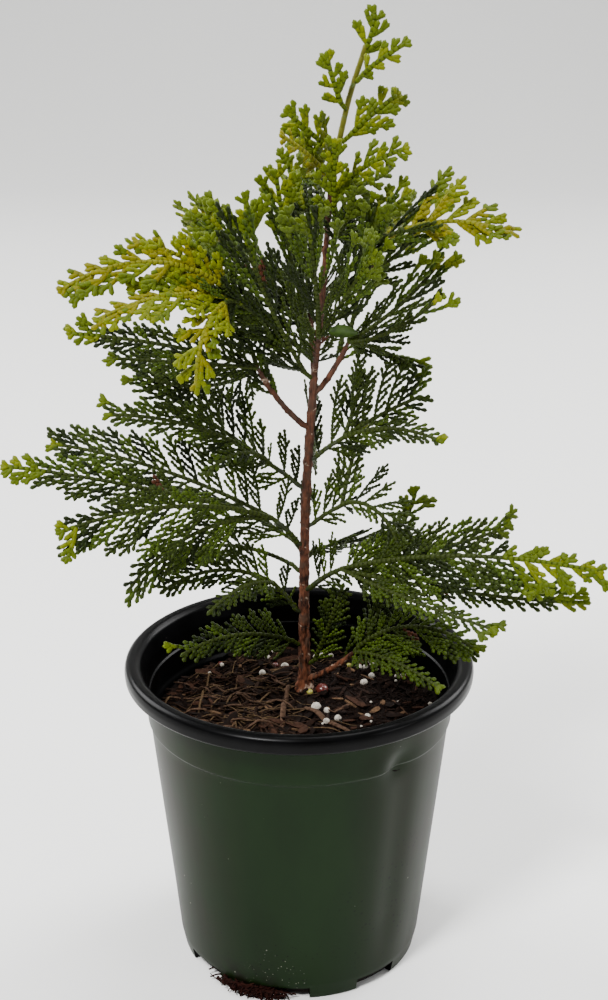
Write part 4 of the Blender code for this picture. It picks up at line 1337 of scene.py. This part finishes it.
def grow_spray(start, direction, face, hand, length, growth, tints, chance, end_tint):
    """A side spray: its own chain of leaves with short spurs on both sides."""
    tint = chance.choice(tints)
    fresh = growth in FRESH
    if not fresh and chance.random() < DEAD_CHANCE:
        tint, length = "dead", DEAD_REACH * length
    ends = end_tint if fresh else None
    places, headings = leaf_chain(start, direction, face, length, -SIDE_BEND * hand, growth,
                                  tint, ends)
    spans = len(places) - 1
    total = spans * length / max(1, round(length / growth.leaf_length))
    if end_tint and not fresh:
        grow_spray(places[-1], headings[-1], face, 0, TUFT_LENGTH * chance.uniform(*TUFT_VARIES),
                   YOUNG, (end_tint,), chance, None)
    for side in (1, -1):
        inner = side == hand
        position = growth.spur_step * chance.uniform(*SPUR_START)
        position += INNER_FIRST * total if inner else 0
        while position < total - growth.end_bare:
            share = position / total
            spot, span = point_on(places, share * spans)
            heading = headings[span]
            leave = leaving(heading, face.cross(heading), side, growth.spur_angle,
                            growth.looseness, chance)
            leave = (leave + face * chance.uniform(-SPUR_LIFT, SPUR_LIFT)).normalized()
            reach = min(FAN_SHARE * (total - position) + 1.2, growth.spur_reach)
            reach *= chance.uniform(*SPUR_VARIES) * (INNER_REACH if inner else 1.0)
            if reach > 0.6 * growth.leaf_length:
                shade = ends if ends and share > 0.5 else tint
                leaf_chain(spot, leave, squared(face, leave), reach, -SPUR_BEND * side, growth,
                           shade, ends)
            position += growth.spur_step * chance.uniform(*SPUR_GAPS)


def fan_tints(fan, share, chance, crown=False):
    """Growth and leaf colours of a side spray by its place on the fan, and its ends' colour."""
    if share >= fan.young and fan.hue == "gold":
        outer = (share - fan.young) / (1.0 - fan.young) > chance.uniform(*GOLD_TURNS_LIME)
        tints = ("lime_bright", "gold") if outer else ("gold", "gold", "lime_bright")
        return GOLDEN, tints, chance.choice(("lime", "lime_bright"))
    ends = "mid" if fan.hue == "mid" else "lime"
    if share >= fan.young:
        return YOUNG, YOUNG_TINTS[fan.hue], ends
    swell = 1.0 + OUTER_SWELL * max(0.0, share) ** SWELL_CURVE
    grown = CROWN if crown else OLD
    grown = grown._replace(leaf_length=grown.leaf_length * swell * swell,
                           leaf_width=grown.leaf_width * swell, spur_step=grown.spur_step * swell)
    # Old sprays near the young growth sometimes take the lighter copy of the old green, which is
    # painted light
    if share > fan.young - END_BAND[crown] and chance.random() < END_CHANCES[crown]:
        return grown, ("old_bright",), ends
    tints = MID_TINTS if fan.hue == "mid" else OLD_TINTS
    return grown, CROWN_TINTS if crown else tints, None


def note_midrib(name, fan, path, radii):
    """Notes the skin of a midrib: a woody or green foot and a green end, or one young piece."""
    cut = [point for point in path if not blocked(point)] or path[:2]
    if fan.young > WOODY_FROM:
        woody = "brown" if name in ("mass_right_pot", "mass_left_bough") else "green"
        first = max(2, min(len(cut) - 2, round(len(cut) * min(fan.young, WOODY_SHARE))))
        twig_lines[woody].append((cut[:first + 1], radii[:first + 1], fan))
        twig_lines["green"].append((cut[first:], radii[first:len(cut)], fan))
    else:
        skin = "pale" if fan.young < WOODY_FROM else "green"
        twig_lines[skin].append((cut, radii[:len(cut)], fan))


def grow_fan(name, number, fan, start, stem_length):
    """One fan: midrib, side sprays in turn left and right, its tip, and the midrib's scales."""
    chance = random.Random("%s %d" % (name, number))
    upright = name in UPRIGHT
    reach = fan.length - stem_length
    steps = max(8, round(reach / 2))
    path = curve_path(start, fan.heading, fan.drift, fan.rise, fan.end, reach, steps)
    radii = [MIDRIB_FOOT + (MIDRIB_TIP - MIDRIB_FOOT) * step / steps for step in range(steps + 1)]
    note_midrib(name, fan, path, radii)
    foot_angle, tip_angle = UPRIGHT_ANGLES if upright else (SIDE_ANGLE_FOOT, SIDE_ANGLE_TIP)
    position = max(SIDE_FIRST, fan.bare) * reach
    hand = -1
    while position < reach - SIDES_END_BARE:
        share = position / reach
        growth, tints, end_tint = fan_tints(fan, share, chance, upright)
        spot, span = point_on(path, share * steps)
        length = (fan.upper if hand > 0 else fan.lower) * side_reach(share)
        length *= chance.uniform(*SIDE_VARIES) * (UPRIGHT_REACH if upright else 1.0)
        angle, loose = foot_angle + (tip_angle - foot_angle) * share, SIDE_LOOSENESS
        step = SIDE_STEP + SIDE_STEP_GAIN * (fan.upper + fan.lower) / 2
        step *= CROWN_STEP_GAIN if upright else 1.0
        if growth in FRESH:
            length *= chance.uniform(*YOUNG_VARIES)
            angle, loose = YOUNG_ANGLE, YOUNG_LOOSENESS
            step = YOUNG_SIDE_STEP if growth is YOUNG else GOLDEN_SIDE_STEP
        leave, upward, spin = set_off(fan_frame(fan, path, span), hand, angle, loose,
                                      SIDE_TIP_OVERS[upright], chance)
        if length > SHORTEST_SIDE and not blocked(spot):
            grow_spray(spot, leave, upward, spin, length, growth, tints, chance, end_tint)
        position += step * (0.9 + 0.2 * chance.random())
        hand = -hand
    direction, _, face = fan_frame(fan, path, steps)
    growth, tints, _ = fan_tints(fan, 0.99, chance)
    back = path[-3]
    grow_spray(back, direction, face, 0, (path[-1] - back).length + TIP_LENGTH, growth, tints,
               chance, None)
    dress_midrib(fan, path, reach, chance)


def dress_midrib(fan, path, reach, chance):
    """Scale leaves along a midrib, young ones where the fan is young."""
    steps = len(path) - 1
    walk = 0.0
    while walk < reach - RIB_END_BARE:
        share = walk / reach
        fresh = fan_tints(fan, share, chance)[0] in FRESH
        spot, span = point_on(path, share * steps)
        direction, _, face = fan_frame(fan, path, span)
        first, last = YOUNG_RIB_WIDTHS if fresh else RIB_WIDTHS
        wide = first + (last - first) * share
        if not blocked(spot):
            set_leaf(RIB_TINTS[fan.hue] if fresh else "rib", spot, direction, face,
                     wide, wide * 0.8, RIB_LEAF * 1.1)
        walk += RIB_LEAF


CLOTHED_FROM = {"bough_right_foot": 0.75, "bough_left": 0.5, "bough_right": 0.5,
                "bough_front": 0.1, "bough_back": 0.3}


def clothe_bough(name, fan, start):
    """Side sprays on a bough from a share of its length on, and scale leaves where green."""
    chance = random.Random(name)
    data = BOUGHS[name]
    path, _ = bough_path(name)
    stride = (path[-1] - path[0]).length / (len(path) - 1)
    length = stride * (len(path) - 1)
    walk, hand = start * length, 1
    next_side = walk + 2.0
    woody = name in WOODY
    crown = woody or name == "bough_gold_left"
    angle = UPRIGHT_ANGLES[0] if crown else SIDE_ANGLE_FOOT
    while walk < length:
        spot, span = point_on(path, walk / stride)
        frame = fan_frame(fan, path, span)
        wide = 2.0 * (data.foot + (data.tip - data.foot) * walk / length)
        if not woody:
            set_leaf("rib", spot, frame[0], frame[2], wide, wide * 0.94, RIB_LEAF * 1.1)
        if walk >= next_side and not blocked(spot):
            reach = (fan.upper if hand > 0 else fan.lower) * chance.uniform(*BOUGH_VARIES)
            leave, upward, spin = set_off(frame, hand, angle, 6, 9, chance)
            grow_spray(spot, leave, upward, spin, reach, CROWN if crown else OLD, OLD_TINTS,
                       chance, None)
            hand = -hand
            next_side += SIDE_STEP + SIDE_STEP_GAIN * (fan.upper + fan.lower) / 2
        walk += RIB_LEAF / 2 if woody else RIB_LEAF


def clothe_leader():
    """Pressed scales in pairs along the leader, from brown wood up to its growing tip."""
    walk = LEADER_START
    top = TRUNK_WAY[-1][0]
    while walk < top + 1:
        share = trunk_share(walk)
        direction = (trunk_point(min(1.0, share + 0.01)) - trunk_point(share - 0.01)).normalized()
        wide = LEADER_SPREAD * trunk_radius(min(walk, top))
        set_leaf("olive_rib", trunk_point(share), direction, squared(way(FRONT, 10), direction),
                 wide, wide, LEADER_LEAF * 1.7)
        walk += LEADER_LEAF


def mass_foot(name):
    """Where the stem of a mass starts, and its direction."""
    bearer, height, fans = MASSES[name]
    lean = sum((way(fan.heading, fan.rise) for fan in fans), Vector())
    heading = math.degrees(math.atan2(lean.y, lean.x))
    if bearer == "trunk":
        return foot_on_trunk(height, heading, STEM_RISE, STEM_RADIUS), way(heading, STEM_RISE)
    tip, direction = BOUGH_TIPS[bearer]
    return tip + direction * (GAP + 0.05), direction


def grow_masses():
    """Grows every mass from its stem."""
    clothe_leader()
    for name, (bearer, _, fans) in MASSES.items():
        foot, direction = mass_foot(name)
        length = STEM_LENGTH if name != "mass_leader" else 2.0
        line = [foot - direction * 1.4, foot + direction * length * 0.5, foot + direction * length]
        tone = "brown" if bearer in WOODY else "green"
        if bearer in BOUGHS:
            clothe_bough(bearer, fans[0], CLOTHED_FROM.get(bearer, 0.0))
        if fans[0].young < PALE_BELOW:
            tone = "pale"
        twig_lines[tone].append((line, [0.9, 0.9, 0.8], fans[0]))
        if STEM_TINTS[tone]:
            for step in range(3):
                set_leaf(STEM_TINTS[tone], line[0].lerp(line[2], step / 3), direction,
                         way(FRONT, 10), 2.3, 2.1, RIB_LEAF)
        start = foot + direction * 0.7 * length
        for number, fan in enumerate(fans):
            grow_fan(name, number, fan, start, length)


grow_masses()


def twig_material(name, low, high):
    # Twig skin: thin waxy bark or pressed old scales, mottled along its length
    return mottled_material(name, (0.6, 1.42), 2.5, (0.35, 0.65), (low, high), (0.4, 0.25),
                            (1, 1, 0.6))


def make_twigs():
    """Midribs and stems, joined by the colour of their skin."""
    skins = {
        "green": twig_material("pressed_green_scales", "#151d04", "#242d0a"),
        "brown": twig_material("red_brown_twig_bark", "#2a130b", "#4c281a"),
        "pale": twig_material("young_golden_skin", "#4c5410", "#6e721c"),
    }
    for tone, lines in twig_lines.items():
        points, faces = [], []
        for path, radii, fan in lines:
            if len(path) > 1:
                swept(points, faces, path, radii, 6, 0.8, way(fan.face, fan.tilt))
        piece = swept_piece("twigs_" + tone, points, faces, skins[tone])
        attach(piece, "root")


make_twigs()

# Slot, dark and light mottling and pale edge of each leaf colour; the pale edge is partly a painted
# highlight
LEAF_TONES = {
    "rib": ("leaf", "#0e1402", "#1b2604", "#364010"),
    "olive_rib": ("lime", "#3a3a08", "#4a4a0c", "#5e5e1a"),
    "dead": ("leaf", "#230f07", "#38190c", "#523020"),
    # The darker copy of the old green is painted shade, and the lighter copy below is painted light
    "old_deep": ("leaf", "#050901", "#0c1402", "#263207"),
    "old": ("leaf", "#091101", "#162003", "#39470d"),
    "old_bright": ("leaf", "#101b01", "#222f03", "#495c12"),
    "mid": ("lime", "#151d00", "#283300", "#4b5a0e"),
    "lime": ("lime", "#182200", "#303b00", "#5a6904"),
    "lime_bright": ("lime", "#222a00", "#404700", "#717a05"),
    "gold": ("gold", "#2b2a00", "#4a4801", "#797602"),
    "gold_pale": ("gold", "#3a3b00", "#565706", "#7a7b1c"),
}
FACES_PER_PIECE = 190000


def leaf_material(name, low, high, pale):
    # Scale leaves: thick, waxy and satin, each spray one tone with slight mottling
    made, tree, shader = start_material("scale_leaf_" + name, 0.5, 1.45, 0.13)
    tone, _ = noise_mix(tree, 4, 0.36, 0.62, (low, high), detail=2.0)
    # Pale scale edges, partly a painted highlight on the sides and tips, and painted shade at the
    # foot of each joint
    pale_edge_and_painted_light = add_node(tree, "ShaderNodeAttribute", {"attribute_name": "edge"})
    tree.links.new(layered(tree, tone, (pale, pale_edge_and_painted_light.outputs["Fac"])), shader.inputs["Base Color"])
    return made


def scale_pair(name, sides, waist, rings):
    """One joint of a spray: two scales point out and forward at its sides, two lie on its
    faces, and all four hug a blunt tip. Its points know how near a scale's pale edge they are;
    the same value paints a highlight on its sides and tip and paints shade at its foot."""
    points, edges = [], []
    for height, width, depth in ((-0.1, waist, waist), *rings):
        for corner in range(sides):
            turn = 2 * math.pi * corner / sides
            points.append((width * math.cos(turn), depth * math.sin(turn),
                           height - 0.04 * abs(math.sin(turn))))
            # Pale edge and painted highlight: most at the side tips, none at the foot ring, which
            # is left as painted shade in the joint
            pale_edge_and_painted_light = min(1.0, width / 0.5) * abs(math.cos(turn))
            edges.append(max(0.15, pale_edge_and_painted_light) if height > 0 else 0.0)
    points.append((0, 0, 1.06))
    last = sides * len(rings)
    faces = [tuple(reversed(range(sides))), *ring_faces(0, len(rings) + 1, sides)]
    faces += [(last + corner, last + (corner + 1) % sides, last + sides)
              for corner in range(sides)]
    mesh = closed_mesh(name, points, faces)
    mesh.attributes.new("edge", "FLOAT", "POINT").data.foreach_set("value", [*edges, 0.7])
    return bpy.data.objects.new(name, mesh)


def make_leaves():
    """All scale leaves, joined by tone, each piece small enough for the export."""
    fine = scale_pair("old_scale_pair", 4, 0.26,
                      ((0.32, 0.41, 0.38), (0.68, 0.51, 0.45), (0.94, 0.26, 0.3)))
    pressed = scale_pair("rib_scale_pair", 6, 0.38, ((0.3, 0.46, 0.44), (0.8, 0.48, 0.46)))
    plump = scale_pair("young_scale_pair", 6, 0.4, ((0.34, 0.47, 0.42), (0.8, 0.5, 0.42)))
    made = []
    for tone, spots in leaf_spots.items():
        slot, *colours = LEAF_TONES[tone]
        shape = plump if slot in ("lime", "gold") else fine
        shape = pressed if tone in ("rib", "olive_rib", "gold_pale") else shape
        finish = leaf_material(tone, *colours)
        batch = FACES_PER_PIECE // sum(len(face.vertices) - 2 for face in shape.data.polygons)
        for number in range(0, len(spots), batch):
            name = "leaves_%s_%d" % (tone, number // batch + 1)
            piece = strew(name, spots[number:number + batch], shape, finish)
            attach(piece, "root")
            made.append(piece)
    for piece in made:
        if "old" in piece.name:
            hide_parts(*MASSES)


make_leaves()

# Stray leaf
# One small broad leaf of another plant, folded along its middle and arched, which was blown
# in and lies on the front of the crown.

STRAY_PLACE = Vector((18.2, -54.0, 322.6))
STRAY_TURN = -18
STRAY_TILT = 62
STRAY_LENGTH = 13.0
STRAY_WIDTH = 5.2
STRAY_FOLD = 0.9
STRAY_ARCH = 1.2
STRAY_THICKNESS = 0.3
STRAY_STEPS = 13


def make_stray_leaf():
    """The leaf as a thin closed mesh, folded up at both sides and arched along."""
    points, faces = [], []
    for step in range(STRAY_STEPS + 1):
        share = step / STRAY_STEPS
        along = STRAY_LENGTH * (share - 0.5)
        wide = STRAY_WIDTH / 2 * math.sin(math.pi * share) ** 0.7 + 0.05
        for side in (-1, 0, 1):
            lift = STRAY_FOLD * abs(side) + STRAY_ARCH * math.sin(math.pi * share)
            points += [(along, wide * side, lift), (along, wide * side, lift - STRAY_THICKNESS)]
    for low in range(0, 6 * STRAY_STEPS, 6):
        high = low + 6
        for one, other in ((0, 2), (2, 4)):
            faces += [(low + one, low + other, high + other, high + one),
                      (low + one + 1, high + one + 1, high + other + 1, low + other + 1)]
        faces += [(low, high, high + 1, low + 1), (low + 4, low + 5, high + 5, high + 4)]
    for row in (0, 6 * STRAY_STEPS):
        faces += [(row, row + 1, row + 3, row + 2), (row + 2, row + 3, row + 5, row + 4)]
    turn = Matrix.Rotation(math.radians(STRAY_TURN), 3, "Z")
    turn = turn @ Matrix.Rotation(math.radians(STRAY_TILT), 3, "X")
    points = [(STRAY_PLACE + turn @ Vector(point)) * MM for point in points]
    # A thin broad leaf, duller than the scale leaves
    finish = mottled_material("thin_broad_leaf", (0.6, 1.4, 0.2), 3.0, (0.35, 0.65),
                              ("#142200", "#263a02"), (0.4, 0.2))
    piece = new_piece("stray_leaf", closed_mesh("stray_leaf", points, faces), finish)
    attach(piece, "root")


make_stray_leaf()

# Floor, light and camera
# A pale table top under soft daylight lamps, seen from a little above the pot's rim.

FLOOR_START = -5.0
FLOOR_END = 2.2
FLOOR_SIDE = 6.0
SWEEP_RADIUS = 1.2
SWEEP_TOP = 5.0
SWEEP_STEPS = 12
LAMP_AIM = Vector((0, 0, 0.22))
CAMERA_PLACE = Vector((2.3, -683.6, 485.9))
CAMERA_PITCH = 20.52
CAMERA_LENS = 57.6


def make_stage():
    """Floor, lamps, sky and camera."""
    section = [(FLOOR_START, 0.0), (FLOOR_END, 0.0)]
    for step in range(1, SWEEP_STEPS + 1):
        along, up = polar(SWEEP_RADIUS, math.radians(90 * step / SWEEP_STEPS - 90))
        section.append((FLOOR_END + along, SWEEP_RADIUS + up))
    section.append((FLOOR_END + SWEEP_RADIUS, SWEEP_TOP))
    points = [(side * FLOOR_SIDE, along, height) for along, height in section for side in (-1, 1)]
    faces = [(2 * row, 2 * row + 1, 2 * row + 3, 2 * row + 2) for row in range(len(section) - 1)]
    mesh = smooth_mesh("table_and_sweep", points, faces)
    # Matt paper, paler than anything on the plant
    paper, _, shader = start_material("pale_matt_paper", 0.95)
    shader.inputs["Base Color"].default_value = (*linear("#efefed"), 1)
    floor = new_piece("table_and_sweep", mesh, paper)
    for name, place, power, size in (("key", (-0.7, -1.1, 1.8), 70, 0.4),
                                     ("fill", (1.6, -0.8, 0.9), 8, 0.6),
                                     ("top", (0.3, 0.4, 2.0), 30, 0.9),
                                     ("sweep_left", (-1.9, 1.2, 1.6), 76, 1.2),
                                     ("sweep_right", (1.9, 1.2, 1.6), 76, 1.2)):
        lamp = bpy.data.lights.new(name, "AREA")
        lamp.energy = power
        lamp.size = size
        made = place_in_scene(name, lamp)
        made.location = place
        made.rotation_euler = (LAMP_AIM - made.location).to_track_quat("-Z", "Y").to_euler()
    world = bpy.data.worlds.new("sky")
    world.use_nodes = True
    sky = world.node_tree.nodes["Background"]
    sky.inputs["Color"].default_value = (1, 1, 1, 1)
    sky.inputs["Strength"].default_value = 0.2
    bpy.context.scene.world = world
    lens = bpy.data.cameras.new("camera")
    lens.lens = CAMERA_LENS
    camera = place_in_scene("camera", lens)
    camera.location = CAMERA_PLACE * MM
    camera.rotation_euler = (math.radians(90 - CAMERA_PITCH), 0, 0)
    bpy.context.scene.camera = camera


make_stage()
